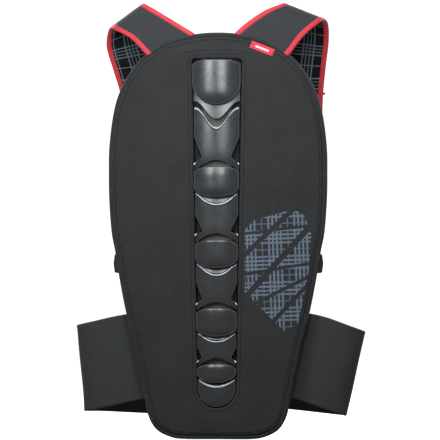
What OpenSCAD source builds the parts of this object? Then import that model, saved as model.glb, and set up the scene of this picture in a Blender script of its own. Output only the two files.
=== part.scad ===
// Back protector: a soft padded panel with a window of spine plates, two shoulder straps and an
// elastic waist belt. Millimetres.
// Frame: +Z towards the neck, +Y towards the wearer, +X to the right seen from behind.
// The origin is on the lining face, in the middle of the panel's height.

/* [Panel] */
// Height of the padded panel
panel_height = 520; // [500:5:540]
// Width of the padded panel at the shoulder blades
panel_width = 281.2; // [272:0.4:290]
// How far the panel's sides come forward round the ribs
wrap_depth = 14; // [8:1:16]
// Thickness of the mesh lining
lining_thickness = 1.5; // [1:0.25:2]
// Thickness of the impact foam
foam_thickness = 12; // [10:0.5:14]
// Thickness of the softshell cover
cover_thickness = 2; // [1.5:0.25:2.5]
// Width of the cover's turned edge round the foam
edge_width = 6; // [4:1:8]

/* [Spine plates] */
// Half width of the plate window at its top
window_half_top = 32.4; // [31.5:0.1:34]
// Half width of the plate window at its bottom
window_half_bottom = 25.2; // [24.5:0.1:26.5]
// Thickness of the flexible strip that carries the plates
carrier_thickness = 3.5; // [2.5:0.5:4]
// Height of a dome's crest above the lining face
dome_crest = 23; // [20:0.5:25]
// Height of a link's crest above the lining face
link_crest = 17.5; // [15:0.5:19]

/* [Straps] */
// Thickness of the padded shoulder strap
strap_thickness = 5; // [4:0.5:6]
// Width of the adjusting webbing
webbing_width = 25; // [20:1:26]
// Thickness of the adjusting webbing
webbing_thickness = 1.8; // [1.5:0.1:2]

/* [Belt] */
// Height of the elastic belt
belt_height = 112; // [100:1:116]
// Thickness of the elastic belt
belt_thickness = 2.6; // [2:0.2:3]

/* [Hidden] */
$fn = 64;
half_w = panel_width / 2;
half_h = panel_height / 2;
panel_thickness = lining_thickness + foam_thickness + cover_thickness;
plate_base = lining_thickness + carrier_thickness;
dome_clearance = 0.8;

// Heights of the cuts between the six stiff sections, from the neck down
section_cuts = [half_h + 1, 144.3, 45.8, -49.4, -130.9, -188.5, -half_h - 1];
section_gap = 0.3;

// Half outline of the panel from the neck down, as parts of the half width and half height
outline_half = [
    [0, 1], [0.203, 0.992], [0.446, 0.960], [0.647, 0.898], [0.789, 0.815], [0.903, 0.704],
    [0.960, 0.592], [0.995, 0.440], [1.000, 0.315], [0.996, 0.177], [0.974, 0.019],
    [0.939, -0.081], [0.896, -0.223], [0.839, -0.377], [0.754, -0.563], [0.665, -0.800],
    [0.630, -0.890], [0.555, -0.955], [0.430, -0.990], [0.300, -1], [0, -1]
];

// The window's top and bottom ends
window_top = 226.5;
window_bottom = -219.8;
window_corner = 5;

// Links, one row each from the second section down: lip at the side, lip in the middle, top of the
// side notch, half width at the notch, height of the notch, top of the foot, bottom of the foot,
// middle of the foot's arch, top of the dome, bottom of the dome's side, bottom of the dome's tongue
plate_rows = [
    [164.8, 138.8, 126.4, 18.8, 100.8, 91.8, 83.5, 97, 88, 60.4, 49.4],
    [57.3, 41.3, 26.6, 17.7, 5.3, 1, -9.3, 3.5, -5.7, -29.8, -41.4],
    [-31, -49, -60.5, 18.4, -81, -87.4, -95, -84.3, -92.7, -119.4, -128.6],
    [-121.9, -134.2, -142.4, 18.6, -156.5, -160.9, -167, -155.2, -164, -176, -187.6]
];

// The adjuster's line: where the webbing leaves its tab, and the ring bar that it turns round
webbing_x = 116;
webbing_foot = [15.8, -35.5];
ring_bar = [56, 30];
bar_r = 2;
webbing_turn_r = 4.4;
ring_pitch = 13;
loop_length = 12;
webbing_line = ring_bar - webbing_foot;
webbing_length = norm(webbing_line);
webbing_angle = atan2(webbing_line.y, webbing_line.x);
webbing_along = webbing_line / webbing_length;
strap_end = ring_bar + (ring_pitch + loop_length) * webbing_along;

// Strap stations: x, y, z of the middle line, tilt of the width from +X, half width
strap_right = [
    [45, -7, 232, -33, 36], [64, -6, 251, -33, 35], [85, -3, 271, -32, 30.5],
    [104, 5, 283.5, -25, 28], [110, 20, 286, -21, 28], [113, 38, 278, -15, 28],
    [112, 55, 254, -8, 28], [107, 69, 218, -3, 28], [103, 78, 180, 0, 28],
    [102, 83, 138, 0, 28], [104, 84, 104, 0, 26], [111, 82.5, 80, 0, 19],
    [webbing_x, 76.7, 64.5, 0, 15], [webbing_x, strap_end.x, strap_end.y, 0, 13.5]
];
strap_left = [
    [-45, -7, 232, 30, 36], [-64, -6, 248, 28, 32], [-87, -3, 266, 28, 28],
    [-110, 5, 279, 34, 27], [-117, 20, 282, 36, 26], [-121, 38, 274, 28, 27],
    [-121, 55, 250, 16, 28], [-112, 69, 214, 6, 28], [-104, 78, 180, 0, 28],
    [-101, 83, 138, 0, 28], [-104, 84, 104, 0, 26], [-111, 82.5, 80, 0, 19],
    [-webbing_x, 76.7, 64.5, 0, 15], [-webbing_x, strap_end.x, strap_end.y, 0, 13.5]
];
// Station over the shoulder where the strap's two halves meet, and half of the gap there
shoulder_station = 4;
shoulder_gap = 0.08;

// Belt stations: x, y, z of the middle line, lean of the height from +Z towards +X, half height
belt_right = [
    [0, 8.5, -150, 0, 0.985], [60, 11.5, -150.5, 2, 0.985], [95, 17, -152.5, 9, 0.99],
    [120, 23, -157.5, 17, 1], [150, 33, -168.5, 17, 1], [166, 43, -174.5, 14.5, 1],
    [173.5, 58, -177.8, 12.7, 1], [167, 74, -177.3, 11, 1], [148, 84, -175.5, 8, 1],
    [100, 90, -170.5, 6.6, 1], [50, 91, -165, 6.6, 1], [8, 91, -160, 6.6, 1]
];
belt_left = [
    [0, 8.5, -150, 0, 0.985], [-60, 11.5, -150.5, -2, 0.985], [-95, 17, -153.5, -8, 0.99],
    [-120, 23, -157.8, -12.5, 1], [-152, 33, -165, -12, 1], [-172, 43, -169.5, -9, 1],
    [-181, 58, -171.5, -5, 1], [-174, 74, -172, -2, 1], [-154, 84, -172.5, 1, 1],
    [-102, 90, -175, 2.5, 1], [-50, 91, -177.2, 2.5, 1], [-8, 91, -179, 2.5, 1]
];
// Stations where the side begins at the panel's edge and where the front begins at the fold
belt_side_station = 3;
belt_fold_station = 6;
belt_gap = 0.02;

// Rings along one stretch between two stations
rings_per_station = 5;

// The two layers of webbing run this far from their middle line through the slider
layer_gap = 1.2;
slider_at = 28;
slider_length = 16;
slider_wall = 1.6;
slider_clear = 0.3;

// The tab on the panel's edge that the webbing is sewn to
tab_x = [100, 135.2];
tab_z = [-49, -22];
tab_thickness = 2.2;

// The maker's tag, plain
tag_size = [31, 1.2, 9.6];
tag_pos = [58.4, 239];
tag_turn = 21;

// ---- Curves ----

// A smooth curve through a list of points, at u stations from the first
function curve_at(pts, u) =
    let (
        last = len(pts) - 1,
        i = min(floor(u), last - 1),
        t = u - i,
        p1 = pts[i],
        p2 = pts[i + 1],
        p0 = i > 0 ? pts[i - 1] : 2 * p1 - p2,
        p3 = i + 2 <= last ? pts[i + 2] : 2 * p2 - p1
    )
    (2 * p1 + (p2 - p0) * t + (2 * p0 - 5 * p1 + 4 * p2 - p3) * t * t
        + (3 * p1 - p0 - 3 * p2 + p3) * t * t * t) / 2;

function unit(v) = v / norm(v);

function middle(pts, u) = let (s = curve_at(pts, u)) [s[0], s[1], s[2]];

// Crosswise wrap of the panel at x
function wrap_y(x) = wrap_depth * pow(x / half_w, 2);

// One side of the panel's outline as smooth points, drawn in by inset
function outline_side(side, inset) = [
    for (i = [0:4 * (len(outline_half) - 1)])
        let (p = curve_at(outline_half, i / 4))
        [side * max(0, p.x * half_w - (p.x > 0.2 ? inset : inset * p.x / 0.2)),
            p.y * (half_h - inset)]
];

// Half width of the window at height z
function window_half(z) =
    window_half_bottom + (window_half_top - window_half_bottom)
        * (z - window_bottom) / (window_top - window_bottom);

// ---- Building blocks ----

// An outline in X and Z, made solid between two depths behind the lining face
module upright(depth_0, depth_1)
    translate([0, -depth_0, 0]) rotate([90, 0, 0]) linear_extrude(depth_1 - depth_0) children();

module panel_outline(inset)
    polygon(concat(
        [for (p = outline_side(1, inset)) if (p.x > 0) p],
        [for (i = [len(outline_side(1, inset)) - 1:-1:0])
            let (p = outline_side(-1, inset)[i]) if (p.x < 0) p]
    ));

module window_outline(clearance)
    hull() {
        for (side = [-1, 1])
            translate([side * (window_half_top - window_corner - clearance),
                    window_top - window_corner - clearance])
                circle(window_corner);
        translate([0, window_bottom + window_half_bottom])
            circle(window_half_bottom - clearance);
    }

// A full-height layer that follows the wrap, between two depths behind the lining face
module layer(depth_0, depth_1) {
    steps = 10;
    span = half_w + 6;
    xs = [for (i = [-steps:steps]) span * i / steps];
    translate([0, 0, -half_h - 2])
        linear_extrude(panel_height + 4)
            polygon(concat(
                [for (x = xs) [x, wrap_y(x) - depth_1]],
                [for (i = [len(xs) - 1:-1:0]) [xs[i], wrap_y(xs[i]) - depth_0]]
            ));
}

// The slab between two cuts of the panel, number 1 at the neck
module section(number) {
    top = section_cuts[number - 1] - section_gap / 2;
    bottom = section_cuts[number] + section_gap / 2;
    translate([-half_w - 10, -60, bottom]) cube([panel_width + 20, 120, top - bottom]);
}

// A flat band along stations, between two offsets from its middle, in mm along its normal
module band(pts, from, to, offset_0, offset_1, width = 1, widths_upright = false) {
    count = max(1, ceil((to - from) * rings_per_station));
    rings = [
        for (i = [0:count])
            let (
                u = from + (to - from) * i / count,
                s = curve_at(pts, u),
                tangent = unit(middle(pts, min(u + 0.02, len(pts) - 1)) - middle(pts, max(u - 0.02, 0))),
                across = widths_upright ? [sin(s[3]), 0, cos(s[3])] : [cos(s[3]), 0, sin(s[3])],
                normal = unit(cross(tangent, across)),
                reach = across * s[4] * width,
                c = [s[0], s[1], s[2]]
            )
            [c - reach + normal * offset_0, c + reach + normal * offset_0,
                c + reach + normal * offset_1, c - reach + normal * offset_1]
    ];
    sides = [
        for (i = [0:count - 1], j = [0:3])
            let (a = 4 * i + j, b = 4 * i + (j + 1) % 4)
            each [[a, b, b + 4], [a, b + 4, a + 4]]
    ];
    polyhedron(
        points = [for (ring = rings, p = ring) p],
        faces = concat([[3, 2, 1, 0]], sides, [[4 * count, 4 * count + 1, 4 * count + 2, 4 * count + 3]])
    );
}

// Rounds an upright prism across and along: crest height, half width, drop at the sides,
// middle and half length, drop at the ends
module crowned(crest, half_width, side_drop, z_mid, half_length, end_drop) {
    r_across = (pow(half_width, 2) + pow(side_drop, 2)) / (2 * side_drop);
    r_along = (pow(half_length, 2) + pow(end_drop, 2)) / (2 * end_drop);
    intersection() {
        children();
        translate([0, r_across - crest, z_mid - 80]) cylinder(r = r_across, h = 160);
        translate([-50, r_along - crest, z_mid]) rotate([0, 90, 0]) cylinder(r = r_along, h = 100);
    }
}

// ---- Spine plates ----

// A dome's outline: a flat-topped upper edge and a round tongue below
module dome_outline(top, side_bottom, tongue) {
    reach = window_half(side_bottom) - dome_clearance;
    bulge = 3;
    polygon(concat(
        [for (a = [0:15:180])
            [reach * cos(a), top - 4 - bulge + (4 + bulge) * pow(sin(a), 0.6)]],
        [for (a = [180:10:360]) [reach * cos(a), side_bottom + (side_bottom - tongue) * sin(a)]]
    ));
}

module dome(top, side_bottom, tongue)
    crowned(dome_crest, window_half(side_bottom) - dome_clearance + 1, 8, (top + tongue) / 2,
        (top - tongue) / 2 + 1, 6)
        upright(plate_base, dome_crest + 1) dome_outline(top, side_bottom, tongue);

// A link: curved lip on top, a notch on each side and an arched foot
module link(row, clearance = 1.6) {
    reach = window_half(row[2]) - clearance;
    foot = window_half(row[5]) - clearance;
    lip = [for (i = [-6:6]) let (t = i / 6)
        [-t * reach, row[1] + (row[0] - row[1]) * (1 - cos(180 * t)) / 2]];
    arch = [for (i = [-6:6]) let (t = i / 6) [t * foot, row[7] + (row[6] - row[7]) * t * t]];
    crowned(link_crest, reach + 1, 6, (row[0] + row[6]) / 2, (row[0] - row[6]) / 2 + 1, 4)
        upright(plate_base, link_crest + 1)
            polygon(concat(
                lip,
                [[-reach, row[2]], [-row[3], row[4]], [-foot, row[5]]],
                arch,
                [[foot, row[5]], [row[3], row[4]], [reach, row[2]]]
            ));
}

module spine_dome_1() color("dimgray") dome(225, 194, 167.9);

// The flange shows as a crescent under the first dome's tongue
module spine_flange_1() {
    reach = window_half(180) - 1.6;
    under_tongue = [for (i = [8:-1:-8]) let (x = i / 8 * reach)
        [x, 193 - 27 * sqrt(1 - pow(x / 32.6, 2))]];
    lower_edge = [for (i = [-8:8]) let (t = i / 8)
        [t * reach, 149.1 + 22.4 * (1 - cos(180 * t)) / 2]];
    color("gray")
        crowned(link_crest, reach + 1, 5, 168, 23, 4)
            upright(plate_base, link_crest + 1) polygon(concat(under_tongue, lower_edge));
}

// Each link below the first is cut back where the dome above reaches over it
module spine_link(number)
    color("dimgray")
        difference() {
            link(plate_rows[number - 2]);
            if (number > 2)
                let (above = plate_rows[number - 3])
                    upright(-30, 30)
                        offset(delta = 0.5) dome_outline(above[8], above[9], above[10]);
        }

module spine_dome(number) {
    row = plate_rows[number - 2];
    color("dimgray") dome(row[8], row[9], row[10]);
}

module spine_tail() {
    reach = window_half(-200) - 1.6;
    color("dimgray")
        crowned(link_crest + 2, reach + 1, 7, -200, 20, 5)
            upright(plate_base, link_crest + 3)
                polygon(concat(
                    [for (i = [6:-1:-6]) let (t = i / 6) [t * reach, -191 + 8.3 * t * t]],
                    [for (a = [180:10:360]) [reach * cos(a), -196 + 22.2 * sin(a)]]
                ));
}

// ---- Panel ----

module carrier(number)
    color("darkslategray")
        intersection() {
            layer(lining_thickness, plate_base);
            upright(-30, 30) window_outline(0.4);
            section(number);
        }

module foam(number)
    color("gray")
        difference() {
            intersection() {
                layer(lining_thickness, lining_thickness + foam_thickness);
                upright(-30, 30) panel_outline(edge_width);
                section(number);
            }
            upright(-31, 31) window_outline(0);
        }

module cover(number)
    color([0.2, 0.2, 0.21])
        difference() {
            intersection() {
                layer(lining_thickness, panel_thickness);
                upright(-30, 30) panel_outline(0);
                section(number);
            }
            intersection() {
                layer(0, lining_thickness + foam_thickness);
                upright(-31, 31) panel_outline(edge_width);
            }
            upright(-31, 31) window_outline(0);
        }

module lining(number)
    color([0.12, 0.12, 0.13])
        intersection() {
            layer(0, lining_thickness);
            upright(-30, 30) panel_outline(0);
            section(number);
        }

module name_tag()
    color("red")
        translate([tag_pos.x, wrap_y(tag_pos.x) - panel_thickness - tag_size.y, tag_pos.y])
            rotate([0, tag_turn, 0])
                translate([-tag_size.x / 2, -1.3, -tag_size.z / 2]) cube(tag_size);

// ---- Shoulder straps ----

module strap_back(pts)
    color([0.27, 0.27, 0.29])
        difference() {
            band(pts, 0, shoulder_station - shoulder_gap, -strap_thickness / 2, strap_thickness / 2);
            upright(-40, 40) panel_outline(0);
        }

module strap_front(pts)
    color([0.27, 0.27, 0.29])
        band(pts, shoulder_station + shoulder_gap, len(pts) - 1,
            -strap_thickness / 2, strap_thickness / 2);

// Places a child drawn along the webbing's line: its x runs up the line, its y is the line's
// normal, and its z is across the webbing
module on_webbing_line(side)
    translate([side * webbing_x, webbing_foot.x, webbing_foot.y])
        rotate([webbing_angle, 0, 0])
            multmatrix([[0, 0, 1, 0], [1, 0, 0, 0], [0, 1, 0, 0], [0, 0, 0, 1]])
                children();

// The sewn loop that ties the strap's end to its ring
module strap_loop(side)
    color([0.1, 0.1, 0.1])
        on_webbing_line(side)
            translate([webbing_length + ring_pitch, 0, -webbing_width / 2])
                linear_extrude(webbing_width)
                    difference() {
                        union() {
                            circle(bar_r + 2);
                            translate([0, -strap_thickness / 2]) square([loop_length - 0.4, strap_thickness]);
                        }
                        circle(bar_r + 0.2);
                    }

// A rectangular ring of round wire with two bars
module strap_ring(side)
    color("black")
        on_webbing_line(side)
            translate([webbing_length, 0, 0])
                for (end = [-1, 1])
                    translate([0, 0, end * (webbing_width / 2 + 1.5)]) {
                        translate([0, 0, end > 0 ? 0 : -3]) {
                            cylinder(r = bar_r + 1, h = 3);
                            translate([ring_pitch, 0, 0]) cylinder(r = bar_r + 1, h = 3);
                            translate([0, -bar_r - 1, 0]) cube([ring_pitch, 2 * bar_r + 2, 3]);
                        }
                        if (end < 0)
                            for (bar = [0, ring_pitch])
                                translate([bar, 0, 0]) cylinder(r = bar_r, h = webbing_width + 3);
                    }

// The webbing runs up from its tab, round the ring's bar and back to the slider
module webbing(side) {
    inner = layer_gap;
    outer = layer_gap + webbing_thickness;
    turn_in = webbing_turn_r;
    turn_out = webbing_turn_r + webbing_thickness;
    half = webbing_thickness / 2;
    foot_end = 12;
    tail_end = 14;
    spread_at = 50;
    color([0.08, 0.08, 0.08])
        on_webbing_line(side)
            translate([0, 0, -webbing_width / 2])
                linear_extrude(webbing_width)
                    polygon(concat(
                        [[-1, half], [-1, -half], [foot_end, -outer], [spread_at, -outer]],
                        [for (a = [-90:15:90])
                            [webbing_length + turn_out * cos(a), turn_out * sin(a)]],
                        [[spread_at, outer], [tail_end, outer], [tail_end, inner], [spread_at, inner]],
                        [for (a = [90:-15:-90])
                            [webbing_length + turn_in * cos(a), turn_in * sin(a)]],
                        [[spread_at, -inner], [foot_end, -inner]]
                    ));
}

// A flat slider: a frame round both layers with a bar between them
module slider(side) {
    inside = [webbing_width + 2 * slider_clear, 2 * (layer_gap + webbing_thickness + slider_clear)];
    outside = inside + [2, 2] * slider_wall;
    color("black")
        on_webbing_line(side)
            translate([slider_at - slider_length / 2, 0, 0])
                rotate([0, 90, 0]) {
                    linear_extrude(slider_length)
                        difference() {
                            square(outside, center = true);
                            square(inside, center = true);
                        }
                    translate([-inside.x / 2 - 0.5, -layer_gap + slider_clear, slider_length / 2 - 3])
                        cube([inside.x + 1, 2 * (layer_gap - slider_clear), 6]);
                }
}

module anchor_tab(side)
    color([0.08, 0.08, 0.08])
        intersection() {
            layer(-tab_thickness, 0);
            translate([side > 0 ? tab_x[0] : -tab_x[1], -60, tab_z[0]])
                cube([tab_x[1] - tab_x[0], 120, tab_z[1] - tab_z[0]]);
        }

// ---- Waist belt ----

module belt_band(pts, from, to, offset_0 = -0.5, offset_1 = 0.5, height = 1)
    band(pts, from, to, offset_0 * belt_thickness, offset_1 * belt_thickness,
        height * belt_height / 2, true);

module belt_back()
    color([0.22, 0.23, 0.22])
        union() {
            belt_band(belt_right, 0, belt_side_station - belt_gap);
            belt_band(belt_left, 0, belt_side_station - belt_gap);
        }

module belt_mount_pad()
    color([0.12, 0.12, 0.13])
        difference() {
            intersection() {
                layer(-20, 0);
                upright(-30, 30) translate([-45, -186]) square([90, 52]);
            }
            translate([-60, 8.5 - belt_thickness / 2 - 0.05, -200]) cube([120, 60, 80]);
        }

module belt_side(pts)
    color([0.22, 0.23, 0.22])
        belt_band(pts, belt_side_station + belt_gap, belt_fold_station - belt_gap);

module belt_front(pts)
    color([0.2, 0.21, 0.2])
        belt_band(pts, belt_fold_station + belt_gap, len(pts) - 1);

// Hooks on the wearer's side of the right end, loops on the outside of the left end
module hook_tab()
    color([0.1, 0.1, 0.1]) belt_band(belt_right, 10, 11, -1.1, -0.5, 0.86);

module loop_patch()
    color([0.14, 0.14, 0.14]) belt_band(belt_left, 9, 11, -1.0, -0.5, 0.86);

spine_dome_1();
spine_flange_1();
spine_link(2);  // spine_link_2
spine_dome(2);  // spine_dome_2
spine_link(3);  // spine_link_3
spine_dome(3);  // spine_dome_3
spine_link(4);  // spine_link_4
spine_dome(4);  // spine_dome_4
spine_link(5);  // spine_link_5
spine_dome(5);  // spine_dome_5
spine_tail();
carrier(1);  // carrier_1
carrier(2);  // carrier_2
carrier(3);  // carrier_3
carrier(4);  // carrier_4
carrier(5);  // carrier_5
carrier(6);  // carrier_6
foam(1);  // foam_1
foam(2);  // foam_2
foam(3);  // foam_3
foam(4);  // foam_4
foam(5);  // foam_5
foam(6);  // foam_6
cover(1);  // cover_1
cover(2);  // cover_2
cover(3);  // cover_3
cover(4);  // cover_4
cover(5);  // cover_5
cover(6);  // cover_6
lining(1);  // lining_1
lining(2);  // lining_2
lining(3);  // lining_3
lining(4);  // lining_4
lining(5);  // lining_5
lining(6);  // lining_6
strap_back(strap_right);  // strap_back_right
strap_back(strap_left);  // strap_back_left
strap_front(strap_right);  // strap_front_right
strap_front(strap_left);  // strap_front_left
strap_loop(1);  // strap_loop_right
strap_loop(-1);  // strap_loop_left
strap_ring(1);  // strap_ring_right
strap_ring(-1);  // strap_ring_left
webbing(1);  // webbing_right
webbing(-1);  // webbing_left
slider(1);  // slider_right
slider(-1);  // slider_left
anchor_tab(1);  // anchor_tab_right
anchor_tab(-1);  // anchor_tab_left
belt_back();
belt_mount_pad();
belt_side(belt_right);  // belt_side_right
belt_side(belt_left);  // belt_side_left
belt_front(belt_right);  // belt_front_right
belt_front(belt_left);  // belt_front_left
hook_tab();
loop_patch();
name_tag();
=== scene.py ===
"""A back protector: a padded panel with jointed spine plates, shoulder straps and a waist belt.

Lengths in this script are in millimetres until surface() puts them into a mesh in metres.
"""
import math
from collections import namedtuple

import bmesh
import bpy
import numpy as np
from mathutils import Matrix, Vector


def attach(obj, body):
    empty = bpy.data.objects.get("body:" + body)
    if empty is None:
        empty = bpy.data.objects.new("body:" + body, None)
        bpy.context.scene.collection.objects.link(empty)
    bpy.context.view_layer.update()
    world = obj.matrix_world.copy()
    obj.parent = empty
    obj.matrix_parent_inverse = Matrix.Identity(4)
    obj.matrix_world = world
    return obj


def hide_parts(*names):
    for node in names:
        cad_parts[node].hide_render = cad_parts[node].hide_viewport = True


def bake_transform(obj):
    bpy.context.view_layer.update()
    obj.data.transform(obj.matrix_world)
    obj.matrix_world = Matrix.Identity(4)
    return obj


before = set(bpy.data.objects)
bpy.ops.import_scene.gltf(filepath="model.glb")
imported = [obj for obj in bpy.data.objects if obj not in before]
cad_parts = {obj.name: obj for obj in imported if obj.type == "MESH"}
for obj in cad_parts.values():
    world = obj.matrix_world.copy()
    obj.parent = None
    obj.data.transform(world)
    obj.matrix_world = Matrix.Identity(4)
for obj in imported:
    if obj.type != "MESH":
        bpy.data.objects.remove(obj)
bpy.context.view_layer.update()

MM = 0.001
SIDES = ("right", "left")

# ---- Sizes shared with the design ----

HALF_W, HALF_H = 140.6, 260.0
WRAP = 14.0
PLATE_BASE = 5.0
WINDOW_TOP, WINDOW_BOTTOM, WINDOW_CORNER = 226.5, -219.8, 5.0
WINDOW_HALF_TOP, WINDOW_HALF_BOTTOM = 32.4, 25.2
# The ends of the window's straight sides
SIDE_TOP, SIDE_BOTTOM = WINDOW_TOP - WINDOW_CORNER, WINDOW_BOTTOM + WINDOW_HALF_BOTTOM
# The panel's outline from neck to foot, as shares of its half width and half height
OUTLINE_HALF = np.array([
    [0, 1], [0.203, 0.992], [0.446, 0.960], [0.647, 0.898], [0.789, 0.815], [0.903, 0.704],
    [0.960, 0.592], [0.995, 0.440], [1.000, 0.315], [0.996, 0.177], [0.974, 0.019],
    [0.939, -0.081], [0.896, -0.223], [0.839, -0.377], [0.754, -0.563], [0.665, -0.800],
    [0.630, -0.890], [0.555, -0.955], [0.430, -0.990], [0.300, -1], [0, -1],
])
# Heights of the flex joints, and of the splits between the zones that bend about them
FLEX_Z = [144.3, 45.8, -49.4, -130.9, -188.5]
SPLIT_Z = [95.05, -1.8, -90.15, -159.7]
BACKS = ["upper_back", "back_2", "back_3", "back_4", "back_5", "back_6"]

# Gaps from a plate to the window's edge
DOME_GAP, LINK_GAP = 0.8, 1.6
FIRST_DOME = (225, 194, 167.9)
# Heights, but for waist, which is half the width between a link's notches
PlateRow = namedtuple("PlateRow", "lip_side lip_middle shoulder waist notch foot arch_side arch_middle "
                                  "dome_top dome_side tongue")
PLATE_ROWS = [PlateRow(*row) for row in (
    [164.8, 138.8, 126.4, 18.8, 100.8, 91.8, 83.5, 97, 88, 60.4, 49.4],
    [57.3, 41.3, 26.6, 17.7, 5.3, 1, -9.3, 3.5, -5.7, -29.8, -41.4],
    [-31, -49, -60.5, 18.4, -81, -87.4, -95, -84.3, -92.7, -119.4, -128.6],
    [-121.9, -134.2, -142.4, 18.6, -156.5, -160.9, -167, -155.2, -164, -176, -187.6],
)]
# The height at which the tail's width is taken
TAIL = -200

# Stations of each strap: X, Y, Z, tilt in degrees and half width
STRAP = {
    "right": np.array([
        [45, -7, 232, -33, 36], [64, -6, 251, -33, 35], [85, -3, 271, -32, 30.5],
        [104, 5, 283.5, -25, 28], [110, 20, 286, -21, 28], [113, 38, 278, -15, 28],
        [112, 55, 254, -8, 28], [107, 69, 218, -3, 28], [103, 78, 180, 0, 28],
        [102, 83, 138, 0, 28], [104, 84, 104, 0, 26], [111, 82.5, 80, 0, 19],
        [116, 76.7, 64.5, 0, 15], [116, 69.08, 51.31, 0, 13.5]]),
    "left": np.array([
        [-45, -7, 232, 30, 36], [-64, -6, 248, 28, 32], [-87, -3, 266, 28, 28],
        [-110, 5, 279, 34, 27], [-117, 20, 282, 36, 26], [-121, 38, 274, 28, 27],
        [-121, 55, 250, 16, 28], [-112, 69, 214, 6, 28], [-104, 78, 180, 0, 28],
        [-101, 83, 138, 0, 28], [-104, 84, 104, 0, 26], [-111, 82.5, 80, 0, 19],
        [-116, 76.7, 64.5, 0, 15], [-116, 69.08, 51.31, 0, 13.5]]),
}
# Stations of each half of the belt: X, Y, Z, tilt in degrees and width as a share of the whole
BELT = {
    "right": np.array([
        [0, 8.5, -150, 0, .985], [60, 11.5, -150.5, 2, .985], [95, 17, -152.5, 9, .99],
        [120, 23, -157.5, 17, 1], [150, 33, -168.5, 17, 1], [166, 43, -174.5, 14.5, 1],
        [173.5, 58, -177.8, 12.7, 1], [167, 74, -177.3, 11, 1], [148, 84, -175.5, 8, 1],
        [100, 90, -170.5, 6.6, 1], [50, 91, -165, 6.6, 1], [8, 91, -160, 6.6, 1]]),
    "left": np.array([
        [0, 8.5, -150, 0, .985], [-60, 11.5, -150.5, -2, .985], [-95, 17, -153.5, -8, .99],
        [-120, 23, -157.8, -12.5, 1], [-152, 33, -165, -12, 1], [-172, 43, -169.5, -9, 1],
        [-181, 58, -171.5, -5, 1], [-174, 74, -172, -2, 1], [-154, 84, -172.5, 1, 1],
        [-102, 90, -175, 2.5, 1], [-50, 91, -177.2, 2.5, 1], [-8, 91, -179, 2.5, 1]]),
}
BELT_HALF = 56.0
# The station number where a belt's two pieces meet
BELT_SPLIT = 4.5


# ---- Curves and meshes ----

def smooth_curve(stations, at):
    """A Catmull-Rom curve: with p1 and p2 the stations on either side, p0 and p3 the next ones out
    and t the share of the way, half of 2 p1 + (p2 - p0) t + (2 p0 - 5 p1 + 4 p2 - p3) t^2
    + (3 p1 - p0 - 3 p2 + p3) t^3."""
    p = np.asarray(stations, float)
    p = np.vstack([2 * p[0] - p[1], p, 2 * p[-1] - p[-2]])
    at = np.asarray(at, float)
    i = np.clip(np.floor(at).astype(int), 0, len(p) - 4)
    t = (at - i)[..., None]
    p0, p1, p2, p3 = p[i], p[i + 1], p[i + 2], p[i + 3]
    return (2 * p1 + (p2 - p0) * t + (2 * p0 - 5 * p1 + 4 * p2 - p3) * t ** 2
            + (3 * p1 - p0 - 3 * p2 + p3) * t ** 3) / 2


def unit(v):
    return v / np.maximum(np.linalg.norm(v, axis=-1, keepdims=True), 1e-12)


def travel(points):
    """The length along a line of points, from the first to each."""
    steps = np.linalg.norm(np.diff(points, axis=0), axis=1)
    return np.concatenate([[0], np.cumsum(steps)])


def evenly(points, spacing):
    """Points at equal distances along a line of points."""
    length = travel(points)
    at = np.linspace(0, length[-1], max(2, int(round(length[-1] / spacing)) + 1))
    return np.stack([np.interp(at, length, points[:, k]) for k in range(points.shape[1])], -1)


def ripple(x, periods, size, phase):
    """A sum of sines of x, one for each period, each size / sqrt(number) high."""
    periods = np.asarray(periods, float)
    turns = 2 * np.pi * (np.asarray(x)[..., None] / periods + phase * np.arange(1, len(periods) + 1))
    return size * np.sin(turns).sum(-1) / math.sqrt(len(periods))


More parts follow.
